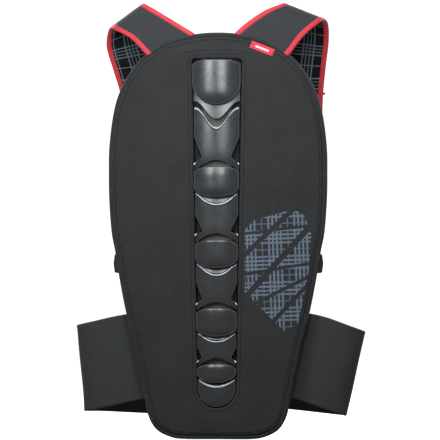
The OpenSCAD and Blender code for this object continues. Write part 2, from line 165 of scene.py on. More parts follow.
def surface(name, patches, materials, cut=None, fills=None, weld=0.004, turn_out=True, sharp=40):
    """One mesh from patches, each an array (..., rows, columns, 3) of points. Neighbouring points
    make a quad, and points nearer than weld become one. cut gives each patch's own UV in metres
    along the cloth, and fills the material number of each patch."""
    points, quads, coords, numbers = [], [], [], []
    base = 0
    for k, patch in enumerate(patches):
        stack = np.asarray(patch, float).reshape((-1,) + np.shape(patch)[-3:])
        number = base + np.arange(stack[..., 0].size).reshape(stack.shape[:3])
        quad = np.stack([number[:, :-1, :-1], number[:, 1:, :-1], number[:, 1:, 1:],
                         number[:, :-1, 1:]], -1).reshape(-1, 4)
        points.append(stack.reshape(-1, 3))
        quads.append(quad)
        numbers.append(np.full(len(quad), fills[k] if fills else 0))
        uv = cut[k] if cut is not None else np.stack([stack[..., 0], stack[..., 2]], -1)
        coords.append(np.asarray(uv, float).reshape(-1, 2))
        base += stack[..., 0].size
    points, quads = np.concatenate(points) * MM, np.concatenate(quads)
    coords, numbers = np.concatenate(coords) * MM, np.concatenate(numbers)
    mesh = bpy.data.meshes.new(name)
    mesh.vertices.add(len(points))
    mesh.vertices.foreach_set("co", points.ravel())
    mesh.loops.add(quads.size)
    mesh.loops.foreach_set("vertex_index", quads.ravel())
    mesh.polygons.add(len(quads))
    mesh.polygons.foreach_set("loop_start", np.arange(0, quads.size, 4))
    mesh.polygons.foreach_set("material_index", numbers)
    mesh.update(calc_edges=True)
    layer = mesh.uv_layers.new(name="cut")
    layer.data.foreach_set("uv", coords[quads.ravel()].ravel())
    work = bmesh.new()
    work.from_mesh(mesh)
    bmesh.ops.remove_doubles(work, verts=work.verts, dist=weld * MM)
    bmesh.ops.dissolve_degenerate(work, edges=work.edges, dist=1e-8)
    if turn_out:
        bmesh.ops.recalc_face_normals(work, faces=work.faces)
    work.to_mesh(mesh)
    work.free()
    mesh.polygons.foreach_set("use_smooth", np.ones(len(mesh.polygons), bool))
    mesh.set_sharp_from_angle(angle=math.radians(sharp))
    for material in materials if isinstance(materials, (list, tuple)) else [materials]:
        mesh.materials.append(material)
    piece = bpy.data.objects.new(name, mesh)
    bpy.context.scene.collection.objects.link(piece)
    return piece


def rim_of(outer, inner):
    """The four narrow strips that join the edges of two sheets of the same grid."""
    return [np.stack([outer[0], inner[0]]), np.stack([outer[-1], inner[-1]]),
            np.stack([outer[:, 0], inner[:, 0]]), np.stack([outer[:, -1], inner[:, -1]])]


def normals_of(grid):
    """The unit normal of a grid at each point: the cross product of its two slopes."""
    return unit(np.cross(np.gradient(grid, axis=0), np.gradient(grid, axis=1)))


def closed_sheet(outer, inner, open_start=False):
    """A sheet with two faces and a rim, which is left out along the first column where a twin sheet
    carries on from there."""
    rim = rim_of(outer, inner)
    return [outer, inner] + rim[:2] + rim[3 if open_start else 2:]


def with_ends(tube):
    """A tube of rings and the two ends that close it, each its ring drawn in to the middle."""
    middle = tube[:, :-1].mean(axis=1, keepdims=True)
    return [tube] + [np.stack([tube[k], np.broadcast_to(middle[k], tube[k].shape)]) for k in (0, -1)]


def tube_cut(run, girth):
    """The cloth's own UV on a tube and its ends: along the tube, and round it."""
    uv = np.stack(np.broadcast_arrays(run, girth), -1)
    return [uv] + [np.stack([uv[k], uv[k]]) for k in (0, -1)]


def sewing(name, lines, pitch, size, material):
    """Rows of stitches as one piece."""
    return surface(name, stitches(lines, pitch, *size), material, weld=0.0005)


def settle(slot, body, *pieces):
    """Gives pieces the body that they move with; slot is not used."""
    for piece in pieces:
        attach(piece, body)


def stitches(lines, pitch, length, width, height):
    """A row of small stitches on each line of (point, normal) pairs: each stitch is half an ellipsoid
    length long, width wide and height high, lying along the line."""
    turn = np.linspace(0, 2 * np.pi, 7)
    rise = np.array([-0.5, -0.35, 0, 0.35, 0.5])
    swell = np.array([0.0, 0.75, 1, 0.75, 0.0])
    rows = []
    for points, normals in lines:
        at = travel(points)
        count = int(at[-1] // pitch)
        if count < 1:
            continue
        centre = (np.arange(count) + 0.5) * at[-1] / count
        pick = lambda values, where: np.stack(
            [np.interp(where, at, values[:, k]) for k in range(3)], -1)
        along = unit(pick(points, centre + 0.3) - pick(points, centre - 0.3))
        up = unit(pick(normals, centre))
        side = unit(np.cross(along, up))
        shape = (along[:, None, None] * (rise * length)[None, :, None, None]
                 + side[:, None, None] * (swell[:, None] * np.cos(turn) * width / 2)[None, ..., None]
                 + up[:, None, None] * (swell[:, None] * np.sin(turn) * height)[None, ..., None])
        rows.append(pick(points, centre)[:, None, None] + shape)
    return rows


# ---- Finishes ----

class Finish:
    """A procedural material. add() makes a node, gives its inputs numbers, colours or other nodes'
    outputs, and returns its first output."""

    def __init__(self, name, **sockets):
        self.material = bpy.data.materials.new(name)
        self.material.use_nodes = True
        self.tree = self.material.node_tree
        self.shader = self.tree.nodes["Principled BSDF"]
        for key, value in sockets.items():
            self.set(self.shader, key.replace("_", " ").title().replace("Ior", "IOR"), value)

    def set(self, node, key, value):
        socket = node.inputs[key]
        if isinstance(value, bpy.types.NodeSocket):
            self.tree.links.new(value, socket)
        elif isinstance(value, (tuple, list)) and len(value) == 3 and socket.type == "RGBA":
            socket.default_value = (*value, 1)
        else:
            socket.default_value = value

    def add(self, kind, *values, out=0, named=None, **settings):
        node = self.tree.nodes.new("ShaderNode" + kind)
        for key, value in settings.items():
            setattr(node, key, value)
        for k, value in enumerate(values):
            self.set(node, k, value)
        for key, value in (named or {}).items():
            self.set(node, key, value)
        return node.outputs[out]

    def math(self, operation, *values):
        return self.add("Math", *values, operation=operation)

    def place(self, kind="Object"):
        return self.add("TexCoord", out=kind)

    def parts(self, where):
        """The three coordinates of a place."""
        return [self.add("SeparateXYZ", where, out=k) for k in range(3)]

    def turned(self, x, y, degrees):
        """x and y along axes turned by an angle."""
        c, s = math.cos(math.radians(degrees)), math.sin(math.radians(degrees))
        return (self.math("ADD", self.math("MULTIPLY", x, c), self.math("MULTIPLY", y, s)),
                self.math("SUBTRACT", self.math("MULTIPLY", y, c), self.math("MULTIPLY", x, s)))

    def wave(self, axis, pitch):
        """A sine of axis that repeats every pitch millimetres."""
        return self.math("SINE", self.math("MULTIPLY", axis, 2 * math.pi / (pitch * MM)))

    def noise(self, where, scale, detail=2.0, rough=0.5):
        return self.add("TexNoise", where, named={"Scale": scale, "Detail": detail, "Roughness": rough})

    def ramp(self, value, low, high, to_low=0.0, to_high=1.0):
        return self.add("MapRange", value, low, high, to_low, to_high)

    def mix(self, factor, first, second):
        node = self.tree.nodes.new("ShaderNodeMix")
        node.data_type = "RGBA"
        for key, value in ((0, factor), (6, first), (7, second)):
            self.set(node, key, value)
        return node.outputs[2]

    def bump(self, height, distance, strength=1.0, under=None):
        return self.add("Bump", named={"Height": height, "Distance": distance * MM,
                                       "Strength": strength, **({"Normal": under} if under else {})})

    def wear(self, key, value):
        self.set(self.shader, key, value)
        return self


def plaid_lines(f, u, v, period, lines):
    """Bands of a generic check: for each (place, width, strength) a soft line repeats every period
    in both directions."""
    total = None
    for axis in (u, v):
        turned = f.math("FRACT", f.math("DIVIDE", axis, period))
        for place, width, strength in lines:
            away = f.math("ABSOLUTE", f.math("SUBTRACT", turned, place))
            line = f.ramp(away, width / 2, width / 2 * 0.45, 0.0, strength)
            total = line if total is None else f.math("MAXIMUM", total, line)
    return total


def cover_finish():
    """Black knitted softshell with a napped face and, on the lower right, a printed check in
    slanting panels."""
    f = Finish("cover_softshell", roughness=0.85, sheen_weight=0.08, sheen_roughness=0.5,
               specular_ior_level=0.2)
    where = f.place()
    x, _, z = f.parts(where)
    knit = f.math("MULTIPLY", f.wave(x, 0.9), f.wave(z, 0.9))
    fuzz = f.noise(where, 1900.0, 3.0)
    mottle = f.noise(where, 24.0, 3.0)
    shade = f.mix(f.ramp(mottle, 0.3, 0.7), (0.0150, 0.0150, 0.0156), (0.0205, 0.0205, 0.0212))
    fleck = f.math("MULTIPLY", f.ramp(f.noise(where, 620.0, 2.0), 0.42, 0.72), 0.5)
    # Paler where the knit and nap stand high: painted light on the raised points.
    shade = f.mix(f.ramp(f.math("ADD", knit, fuzz), 0.3, 1.6, 0.0, 0.45), shade, (0.034, 0.034, 0.036))
    shade = f.mix(fleck, shade, (0.036, 0.036, 0.038))
    f.wear("Base Color", f.mix(print_mask(f, x, z), shade, (0.125, 0.158, 0.205)))
    height = f.math("ADD", f.math("MULTIPLY", knit, 0.5), fuzz)
    f.wear("Normal", f.bump(height, 0.10, 0.7, under=f.bump(f.noise(where, 60.0, 2.0), 0.5, 0.35)))
    return f.material


def side_of(f, x, z, first, second):
    """How far in metres a point lies to the left of the line from first to second."""
    (x0, z0), (x1, z1) = first, second
    length = math.hypot(x1 - x0, z1 - z0)
    nx, nz = -(z1 - z0) / length, (x1 - x0) / length
    offset = (nx * x0 + nz * z0) * MM
    across = f.math("ADD", f.math("MULTIPLY", x, nx), f.math("MULTIPLY", z, nz))
    return f.math("SUBTRACT", across, offset)


PRINT_PATCH = [(36, -72), (36, 8), (48, 20), (98, 34), (112, 26), (121, 2), (117, -50), (104, -112),
               (86, -122)]
# Two points of each slash, and its width
PRINT_SLASHES = [((30, -30), (104, 40), 6.0), ((52, -62), (128, 22), 7.0), ((30, -96), (70, -76), 4.0),
                 ((72, -110), (126, -52), 5.0), ((30, 2), (126, 14), 3.0), ((30, -50), (126, -34), 3.4)]


def print_mask(f, x, z):
    """The printed check: bold lines in fours and a thin one between, inside a patch with nine
    sides that slanting slashes cut into strips."""
    inside = None
    for first, second in zip(PRINT_PATCH, PRINT_PATCH[1:] + PRINT_PATCH[:1]):
        depth = side_of(f, x, z, second, first)
        inside = depth if inside is None else f.math("MINIMUM", inside, depth)
    for first, second, gap in PRINT_SLASHES:
        away = f.math("ABSOLUTE", side_of(f, x, z, first, second))
        inside = f.math("MINIMUM", inside, f.math("SUBTRACT", away, gap / 2 * MM))
    inside = f.ramp(inside, 0.0, 0.4 * MM)
    u, v = f.turned(x, z, 2)
    lines = plaid_lines(f, f.math("ADD", u, 0.992), f.math("ADD", v, 1.004), 33 * MM,
                        [(0.08, 0.095, 0.95), (0.235, 0.095, 1.0), (0.39, 0.095, 1.0), (0.545, 0.095, 0.9),
                         (0.82, 0.05, 0.75)])
    worn = f.ramp(f.noise(f.place(), 500.0, 2.0), 0.25, 0.55, 0.45, 1.0)
    return f.math("MULTIPLY", inside, f.math("MULTIPLY", lines, worn))


def plate_finish():
    """Satin dark moulded plastic with a fine moulded grain."""
    f = Finish("plate_plastic", roughness=0.26, specular_ior_level=0.6)
    where = f.place()
    haze = f.noise(where, 30.0, 2.0)
    f.wear("Base Color", f.mix(haze, (0.018, 0.0195, 0.0205), (0.024, 0.026, 0.0275)))
    f.wear("Roughness", f.ramp(f.noise(where, 90.0, 4.0), 0.3, 0.7, 0.23, 0.31))
    f.wear("Normal", f.bump(f.noise(where, 2600.0, 2.0), 0.015, 0.5))
    return f.material


def plate_edge_finish(name, shade):
    """The same plastic, paler and smoother, mottled between a shade and half again as pale: on the lips and
    clips the pale colour is a painted highlight, and on the plates' rounded edges it is only a little paler
    than the face.
    """
    f = Finish(name, roughness=0.3, specular_ior_level=0.9)
    paler = tuple(1.5 * v for v in shade)
    f.wear("Base Color", f.mix(f.ramp(f.noise(f.place(), 160.0, 3.0), 0.35, 0.65), shade, paler))
    f.wear("Normal", f.bump(f.noise(f.place(), 900.0, 2.0), 0.02, 0.4))
    return f.material


def carrier_finish():
    """Flexible dark strip with a fine grain."""
    f = Finish("carrier_plastic", roughness=0.7, specular_ior_level=0.25)
    where = f.place()
    # A brownish grey, made paler to show bright in the shaded gaps under the plates' arches: partly painted
    # light.
    shade = f.mix(f.noise(where, 300.0, 3.0), (0.105, 0.100, 0.090), (0.140, 0.133, 0.120))
    from_middle = f.math("ABSOLUTE", f.add("SeparateXYZ", where))
    # From 17 to 20 mm out from the middle the colour turns nearly black: painted shade in the notches at the
    # window's sides.
    f.wear("Base Color", f.mix(f.ramp(from_middle, 17 * MM, 20 * MM), shade, (0.004, 0.004, 0.004)))
    f.wear("Normal", f.bump(f.noise(where, 1500.0, 3.0), 0.08, 0.7))
    return f.material


def cloth_finish(name, dark, light, size, roughness=0.8, sheen=0.3, depth=0.12, slant=0.0, specular=0.3):
    """Woven cloth read from the piece's own UV: a plain weave of the given thread size, with a
    mottle between two shades."""
    f = Finish(name, roughness=roughness, sheen_weight=sheen, sheen_roughness=0.5,
               specular_ior_level=specular)
    where = f.place("UV")
    x, y, _ = f.parts(where)
    a, b = (f.math("MULTIPLY", axis, math.pi / (size * MM)) for axis in f.turned(x, y, slant))
    warp, weft = (f.math("MULTIPLY", f.math("ABSOLUTE", f.math(first, a)),
                         f.math("ABSOLUTE", f.math(second, b)))
                  for first, second in (("SINE", "COSINE"), ("COSINE", "SINE")))
    height = f.math("MAXIMUM", warp, weft)
    shade = f.mix(f.noise(where, 60.0, 3.0), dark, light)
    # Darker in the weave's low parts between the threads: painted shade.
    shade = f.mix(f.ramp(height, 0.2, 1.0, 0.75, 0.0), shade, tuple(0.45 * v for v in dark))
    f.wear("Base Color", shade)
    f.wear("Normal", f.bump(height, depth, 0.8, under=f.bump(f.noise(where, 50.0, 2.0), 0.5, 0.3)))
    return f.material


def tag_finish():
    """The tag's red cloth with a plain pale stripe along its middle."""
    f = Finish("tag_fabric", roughness=0.6, sheen_weight=0.2, sheen_roughness=0.5)
    where = f.place("UV")
    x, y, _ = f.parts(where)
    twill = f.wave(f.math("ADD", x, y), 0.4)
    along = f.ramp(f.math("ABSOLUTE", x), 9.2 * MM, 9.0 * MM)
    stripe = f.math("MULTIPLY", f.ramp(f.math("ABSOLUTE", y), 1.25 * MM, 1.05 * MM), along)
    shade = f.mix(f.noise(where, 300.0, 2.0), (0.74, 0.024, 0.055), (0.86, 0.032, 0.070))
    f.wear("Base Color", f.mix(stripe, shade, (0.78, 0.76, 0.76)))
    f.wear("Normal", f.bump(twill, 0.06, 0.8))
    return f.material


def belt_finish():
    """Wide elastic: fine cords run slantwise across the band, crossed by a finer rib."""
    f = Finish("belt_elastic", roughness=0.8, sheen_weight=0.06, sheen_roughness=0.5,
               specular_ior_level=0.2)
    where = f.place("UV")
    x, y, _ = f.parts(where)
    slant = f.math("SUBTRACT", f.math("MULTIPLY", x, 0.60), f.math("MULTIPLY", y, 0.80))
    height = f.math("ADD", f.math("MULTIPLY", f.wave(slant, 2.9), 0.7),
                    f.math("MULTIPLY", f.wave(y, 0.9), 0.25))
    shade = f.mix(f.noise(where, 40.0, 3.0), (0.062, 0.065, 0.064), (0.074, 0.077, 0.076))
    # Much darker in the grooves between the cords: painted shade.
    shade = f.mix(f.ramp(height, -0.9, 0.9, 0.0, 0.6), f.mix(0.7, shade, (0.004, 0.0045, 0.0045)), shade)
    f.wear("Base Color", shade)
    f.wear("Normal", f.bump(height, 0.22, 0.8))
    return f.material


def plaid_finish():
    """Black strap lining with a generic check of pale lines, seen as short dashes of thread."""
    f = Finish("plaid_lining", roughness=0.9, specular_ior_level=0.15)
    where = f.place("UV")
    x, y, _ = f.parts(where)
    lines = plaid_lines(f, f.math("ADD", x, 1.0), f.math("ADD", y, 1.0), 46 * MM,
                        [(0.1, 0.05, 0.8), (0.2, 0.045, 0.55), (0.3, 0.045, 0.55), (0.4, 0.05, 0.7),
                         (0.72, 0.03, 0.9)])
    broken = f.ramp(f.wave(f.math("ADD", x, y), 2.4), -0.9, 0.4, 0.35, 1.0)
    f.wear("Base Color", f.mix(f.math("MULTIPLY", lines, broken), (0.006, 0.0065, 0.007),
                               (0.22, 0.26, 0.31)))
    f.wear("Normal", f.bump(f.noise(where, 1500.0, 3.0), 0.1, 0.7))
    return f.material


def mesh_finish():
    """Open air mesh: rows of small oval holes, each row half a hole along from the next."""
    f = Finish("lining_mesh", roughness=0.85, sheen_weight=0.2, sheen_roughness=0.5,
               specular_ior_level=0.25)
    where = f.place()
    x, _, z = f.parts(where)
    a = f.math("MULTIPLY", x, math.pi / (2.6 * MM))
    b = f.math("MULTIPLY", z, math.pi / (2.2 * MM))
    hole = f.math("ADD", *(f.math("COSINE", f.math(way, a, b)) for way in ("ADD", "SUBTRACT")))
    deep = f.ramp(f.math("ABSOLUTE", hole), 1.0, 1.6)
    # Nearly black in the holes: painted shade.
    f.wear("Base Color", f.mix(deep, (0.030, 0.030, 0.032), (0.005, 0.005, 0.005)))
    yarn = f.bump(f.noise(where, 1800.0, 2.0), 0.06, 0.5)
    f.wear("Normal", f.bump(f.math("SUBTRACT", 1.0, deep), 0.4, 0.8, under=yarn))
    return f.material


def foam_finish():
    """Closed-cell grey foam."""
    f = Finish("foam_core", roughness=0.95)
    where = f.place()
    cells = f.add("TexVoronoi", where, named={"Scale": 900.0}, out=0)
    # Darker in each cell's hollow middle: painted shade.
    f.wear("Base Color", f.mix(f.ramp(cells, 0.0, 0.6), (0.10, 0.10, 0.11), (0.19, 0.19, 0.20)))
    f.wear("Normal", f.bump(cells, 0.15, 0.5))
    return f.material


def hardware_finish():
    """Black moulded nylon with a satin skin, slightly paler and smoother where hands rub it."""
    f = Finish("hardware_plastic", roughness=0.4, specular_ior_level=0.5)
    where = f.place()
    f.wear("Base Color", f.mix(f.noise(where, 140.0, 2.0), (0.010, 0.010, 0.011), (0.018, 0.018, 0.019)))
    f.wear("Roughness", f.ramp(f.noise(where, 60.0, 3.0), 0.3, 0.7, 0.33, 0.5))
    f.wear("Normal", f.bump(f.noise(where, 2200.0, 2.0), 0.03, 0.5))
    return f.material


def touch_tape_finish(name, loops):
    """Touch tape: a field of fine hooks, or of soft tangled loops."""
    f = Finish(name, roughness=0.9 if loops else 0.6, sheen_weight=0.5 if loops else 0.1,
               sheen_roughness=0.5)
    where = f.place()
    cells = f.add("TexVoronoi", where, named={"Scale": 620.0 if loops else 950.0})
    tangle = f.noise(where, 1400.0, 4.0, 0.7)
    height = f.math("ADD", f.math("SUBTRACT", 1.0, cells),
                    f.math("MULTIPLY", tangle, 0.8 if loops else 0.2))
    # Darker where the hooks or loops lie low: painted shade.
    f.wear("Base Color", f.mix(f.ramp(height, 0.5, 1.6), (0.006, 0.006, 0.006), (0.032, 0.032, 0.033)))
    f.wear("Normal", f.bump(height, 0.5, 0.8))
    return f.material


COVER = cover_finish()
PLATE = plate_finish()
# The plates' rounded edges and skirts, a little paler than the face.
PLATE_EDGE = plate_edge_finish("plate_paler_edge", (0.038, 0.040, 0.043))
# Pale colour for the lips along the links' and tail's top edges: a painted highlight.
LIP_HIGHLIGHT = plate_edge_finish("plate_painted_lip_highlight", (0.30, 0.31, 0.33))
# Very pale colour for the clip beads at the notch feet: a painted glint.
CLIP_GLINT = plate_edge_finish("plate_painted_clip_glint", (0.55, 0.56, 0.58))
CARRIER = carrier_finish()
LINING = mesh_finish()
FOAM = foam_finish()
HARDWARE = hardware_finish()
PLAID = plaid_finish()
STRAP_CLOTH = cloth_finish("strap_fabric", (0.033, 0.034, 0.037), (0.043, 0.044, 0.048), size=0.55,
                           roughness=0.85, sheen=0.12, depth=0.08, specular=0.2)
BINDING = cloth_finish("red_binding", (0.62, 0.030, 0.046), (0.74, 0.040, 0.058), size=0.5,
                       roughness=0.6, sheen=0.15, depth=0.10, slant=45)
RED_THREAD = cloth_finish("red_thread", (0.26, 0.008, 0.014), (0.34, 0.012, 0.018), size=0.35,
                          roughness=0.6, sheen=0.2, depth=0.05)
BLACK_THREAD = cloth_finish("black_thread", (0.0015, 0.0015, 0.0018), (0.003, 0.003, 0.0034), size=0.35,
                            sheen=0.0, depth=0.05, specular=0.15)
WEBBING = cloth_finish("webbing", (0.012, 0.012, 0.013), (0.020, 0.020, 0.021), size=1.3,
                       roughness=0.6, sheen=0.2, depth=0.3, slant=45)
TAG = tag_finish()
BELT_CLOTH = belt_finish()
HOOKS = touch_tape_finish("hook_tape", False)
LOOPS = touch_tape_finish("loop_tape", True)


# ---- The panel's grid ----

def wrap_y(x):
    """Crosswise wrap: WRAP times the square of x as a share of the half width."""
    return WRAP * (x / HALF_W) ** 2


def window_half(z):
    """Half width of the window at height z, in a straight line from the top to the bottom."""
    return WINDOW_HALF_BOTTOM + (WINDOW_HALF_TOP - WINDOW_HALF_BOTTOM) * (
        (z - WINDOW_BOTTOM) / (WINDOW_TOP - WINDOW_BOTTOM))


def panel_loops(spacing=3.4):
    """Half of the panel from the neck's middle down its right side to the middle of the foot, row by
    row: a point of the window's edge, the point of the outline that it looks out to, and the
    direction away from the window and in from the outline. On the sides both points are level;
    above and below the window they spread like a fan by their share of each edge's length."""
    mirror = OUTLINE_HALF[[1, -2]] * [-1, 1]
    stations = np.vstack([mirror[:1], OUTLINE_HALF, mirror[1:]])
    outline = smooth_curve(stations, np.linspace(1, len(OUTLINE_HALF), 1601)) * [HALF_W, HALF_H]
    outline[[0, -1], 0] = 0
    length = travel(outline)
    inner = slice(200, 1400)
    at_height = lambda z: np.interp(-z, -outline[inner, 1], length[inner])

    turn = np.radians(np.linspace(0, 90, 40))
    corner = np.stack([WINDOW_HALF_TOP - WINDOW_CORNER + WINDOW_CORNER * np.sin(turn),
                       SIDE_TOP + WINDOW_CORNER * np.cos(turn)], -1)
    top_edge = evenly(np.vstack([[[0, WINDOW_TOP]], corner]), 35.0 / 36)
    heights = np.concatenate([
        np.linspace(a, b, int(math.ceil((a - b) / spacing)) + 1)[1:]
        for a, b in zip([SIDE_TOP] + SPLIT_Z, SPLIT_Z + [SIDE_BOTTOM])])
    share = (SIDE_TOP - heights) / (SIDE_TOP - SIDE_BOTTOM)
    sides = np.stack([WINDOW_HALF_TOP + (WINDOW_HALF_BOTTOM - WINDOW_HALF_TOP) * share, heights], -1)
    turn = np.radians(np.linspace(0, 90, 39))[1:]
    foot = np.stack([WINDOW_HALF_BOTTOM * np.cos(turn),
                     SIDE_BOTTOM - WINDOW_HALF_BOTTOM * np.sin(turn)], -1)
    window = np.vstack([top_edge, sides, foot])

    top_share = np.linspace(0, 1, len(top_edge))
    foot_share = np.linspace(0, 1, len(foot) + 1)[1:]
    at = np.concatenate([
        top_share * at_height(SIDE_TOP), at_height(heights),
        at_height(SIDE_BOTTOM) + foot_share * (length[-1] - at_height(SIDE_BOTTOM))])
    reach = np.stack([np.interp(at, length, outline[:, k]) for k in range(2)], -1)
    slope = np.gradient(outline, axis=0)
    slope = np.stack([np.interp(at, length, slope[:, k]) for k in range(2)], -1)
    slope[[0, -1]] = [[1, 0], [-1, 0]]
    inward = unit(np.stack([slope[:, 1], -slope[:, 0]], -1))
    edge = unit(np.gradient(window, axis=0))
    edge[[0, -1]] = [[1, 0], [-1, 0]]
    outward = np.stack([-edge[:, 1], edge[:, 0]], -1)
    splits = [int(np.argmin(abs(window[:, 1] - z) + 99 * (abs(window[:, 0]) < 20))) for z in SPLIT_Z]
    return window, outward, reach, inward, at, splits


WINDOW_LOOP, OUTWARD, OUTLINE_LOOP, INWARD, AT_EDGE, SPLITS = panel_loops()


def mirrored(grid):
    return grid * [-1, 1, 1]


def zone_grids(half, number):
    """The grids of one of the five zones between splits, from the right half's grid: the first and
    the last run round the middle in one piece, and the others have a right and a left strip."""
    last = len(SPLITS)
    start = SPLITS[number - 1] if number else 0
    stop = SPLITS[number] + 1 if number < last else len(half)
    if number == 0:
        return [np.concatenate([mirrored(half[stop - 1:0:-1]), half[:stop]])]
    if number == last:
        return [np.concatenate([half[start:], mirrored(half[-2:start - 1 if start else None:-1])])]
    return [half[start:stop], mirrored(half[start:stop])[::-1]]


def blend_zone(piece):
    """Bakes the transform of a zone's piece into its mesh."""
    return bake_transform(piece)


def zone_nodes(word, number):
    """The design's nodes that a zone's piece stands for: the last zone has two."""
    return [f"{word}_{n}" for n in [number + 1] + ([6] if number == 4 else [])]


def panel_points(flat, depth):
    """Points in X and Z lifted off the wrapped lining face by depth."""
    return np.stack([flat[..., 0], wrap_y(flat[..., 0]) - depth, flat[..., 1]], -1)


# Distance out from the window's edge, and height above the lining face
WINDOW_FOLD = np.array([
    (0.5, 1.7), (0.3, 5.2), (0.05, 9), (0, 12.2), (0.3, 14.0), (1.0, 15.2), (2.0, 15.7), (3.0, 15.75),
    (3.7, 15.7), (4.2, 15.5), (4.6, 15.4), (5.0, 15.5), (5.6, 15.65), (6.6, 15.75), (8.0, 15.75), (10, 15.7)])
# Distance in from the outline, and height above the lining face
PANEL_RIM = np.array([
    (16, 15.7), (13.5, 15.75), (11.8, 15.7), (10.6, 15.62), (9.9, 15.5), (9.4, 15.42), (8.9, 15.42),
    (8.2, 15.4), (7.4, 15.1), (6.6, 14.4), (6.0, 13.3), (5.6, 12.3), (5.3, 11.9), (4.9, 12.2),
    (4.2, 12.9), (3.3, 13.1), (2.3, 12.8), (1.4, 11.9), (0.7, 10.5), (0.25, 8.8), (0.02, 6.8),
    (0, 4.6), (0.15, 2.6), (0.6, 0.9), (1.4, -0.3), (2.6, -0.8), (4.5, -0.9), (6.5, -0.8), (8, -0.6),
    (8.3, 0.2)])
WINDOW_STITCH, RIM_STITCH = 4.6, 9.4
FACE_COLUMNS = 18
COVER_THICKNESS = 1.1


def cover_grid():
    """The cover's outer face on the right half: the fold at the window, a face that puffs up by up
    to half a millimetre, and the rolled rim with its seam, puckered by the stitch rows."""
    window = WINDOW_LOOP[:, None] + OUTWARD[:, None] * WINDOW_FOLD[None, :, :1]
    rim = OUTLINE_LOOP[:, None] + INWARD[:, None] * PANEL_RIM[None, :, :1]
    share = np.linspace(0, 1, FACE_COLUMNS + 2)[1:-1]
    middle = window[:, -1:] + (rim[:, :1] - window[:, -1:]) * share[None, :, None]
    flat = np.concatenate([window, middle, rim], axis=1)
    puff = 15.7 + 0.5 * np.sin(np.pi * share)
    depth = np.concatenate([WINDOW_FOLD[:, 1], puff, PANEL_RIM[:, 1]])
    depth = np.broadcast_to(depth, flat.shape[:2]).copy()
    at = AT_EDGE[:, None]
    inset = np.concatenate([np.full(len(WINDOW_FOLD) + len(share), 99.0), PANEL_RIM[:, 0]])
    on_face = (depth > 11.5) & (inset < 20)
    pucker = ripple(at + 0 * inset, [5.2, 7.1, 11.3], 0.26, 0.37) * np.exp(-((inset - 7.5) / 3.2) ** 2)
    depth += np.where(on_face, pucker, 0)
    out = np.concatenate([WINDOW_FOLD[:, 0], np.full(len(share) + len(PANEL_RIM), 99.0)])
    gathered = ripple(at + 0 * out, [4.6, 6.3, 9.7], 0.14, 0.21) * np.exp(-((out - 4.6) / 2.2) ** 2)
    depth += np.where(depth > 14.5, gathered, 0)
    return panel_points(flat, depth)


COVER_HALF = cover_grid()


def lining_grid():
    """The lining on the right half, from the middle line to just under the cover's hem: it sinks
    into a channel at each flex joint and puffs up a little between them."""
    spine = np.stack([0 * WINDOW_LOOP[:, 0], np.clip(WINDOW_LOOP[:, 1], SIDE_BOTTOM, SIDE_TOP)], -1)
    edge = OUTLINE_LOOP + INWARD * 7.0
    share = np.linspace(0, 1, 34)
    flat = spine[:, None] + (edge - spine)[:, None] * share[None, :, None]
    near = np.min([abs(flat[..., 1] - z) for z in FLEX_Z], axis=0)
    channel = np.exp(-(near / 3.5) ** 2) * (share < 0.999)
    puff = 0.9 * np.clip(1 - share, 0, 0.25) / 0.25 * np.clip(near / 12, 0, 1)
    depth = -0.1 - puff + 0.7 * channel
    return panel_points(flat, depth), panel_points(flat, depth * 0 + 1.45)


LINING_HALF, LINING_INNER = lining_grid()


def make_panel():
    """Cover, foam core and lining in five zones, with the stitch rows beside the window and round the rim."""
    normal = normals_of(COVER_HALF)
    inner = COVER_HALF - normal * COVER_THICKNESS
    inner[[0, -1], :, 0] = 0
    face_end = len(WINDOW_FOLD) + FACE_COLUMNS
    core_out = np.concatenate([COVER_HALF[:, 1:2], COVER_HALF[:, 3:face_end + 16]], axis=1)
    core_out[..., 1] += 1.5
    core_flat = core_out[..., [0, 2]]
    core_in = panel_points(core_flat, np.full(core_flat.shape[:2], 1.6))
    fold = int(np.argmin(abs(WINDOW_FOLD[:, 0] - WINDOW_STITCH)))
    rim = face_end + int(np.argmin(abs(PANEL_RIM[:, 0] - RIM_STITCH)))
    normal *= -np.sign(normal[:, fold:rim, 1].mean())
    for number in range(5):
        zone = lambda half: zone_grids(half, number)
        pair = lambda outer, under, **start: [
            g for o, i in zip(zone(outer), zone(under)) for g in closed_sheet(o, i, **start)]
        name = lambda word: f"{word}_{number + 1}"
        cover = surface(name("cover_zone"), pair(COVER_HALF, inner), COVER, sharp=60)
        foam = surface(name("foam_core"), pair(core_out, core_in), FOAM)
        lining = surface(name("lining_zone"), pair(LINING_HALF, LINING_INNER, open_start=True), LINING,
                         sharp=60)
        lines = [(g[:, 0], n[:, 0]) for column in (fold, rim) for g, n in zip(
            zone(COVER_HALF[:, column:column + 1]), zone(normal[:, column:column + 1]))]
        thread = sewing(name("panel_stitching"), lines, 3.8, (2.5, 1.1, 0.45), BLACK_THREAD)
        for piece, slot in ((cover, "cover_softshell"), (foam, "foam_core"), (lining, "lining_mesh"),
                            (thread, "cover_softshell")):
            blend_zone(piece)
        for piece, word in ((cover, "cover"), (foam, "foam"), (lining, "lining")):
            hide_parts(*zone_nodes(word, number))


make_panel()


# ---- Spine ----

def window_edge(z):
    """The window's own half width at height z: square above with round corners, round below."""
    arc = lambda radius, rise: np.sqrt(np.clip(radius ** 2 - rise ** 2, 0, None))
    share = np.clip((SIDE_TOP - z) / (SIDE_TOP - SIDE_BOTTOM), 0, 1)
    half = WINDOW_HALF_TOP + (WINDOW_HALF_BOTTOM - WINDOW_HALF_TOP) * share
    corner = WINDOW_HALF_TOP - WINDOW_CORNER + arc(WINDOW_CORNER, z - SIDE_TOP)
    foot = arc(WINDOW_HALF_BOTTOM, z - SIDE_BOTTOM)
    return np.where(z > SIDE_TOP, corner, np.where(z < SIDE_BOTTOM, foot, half))


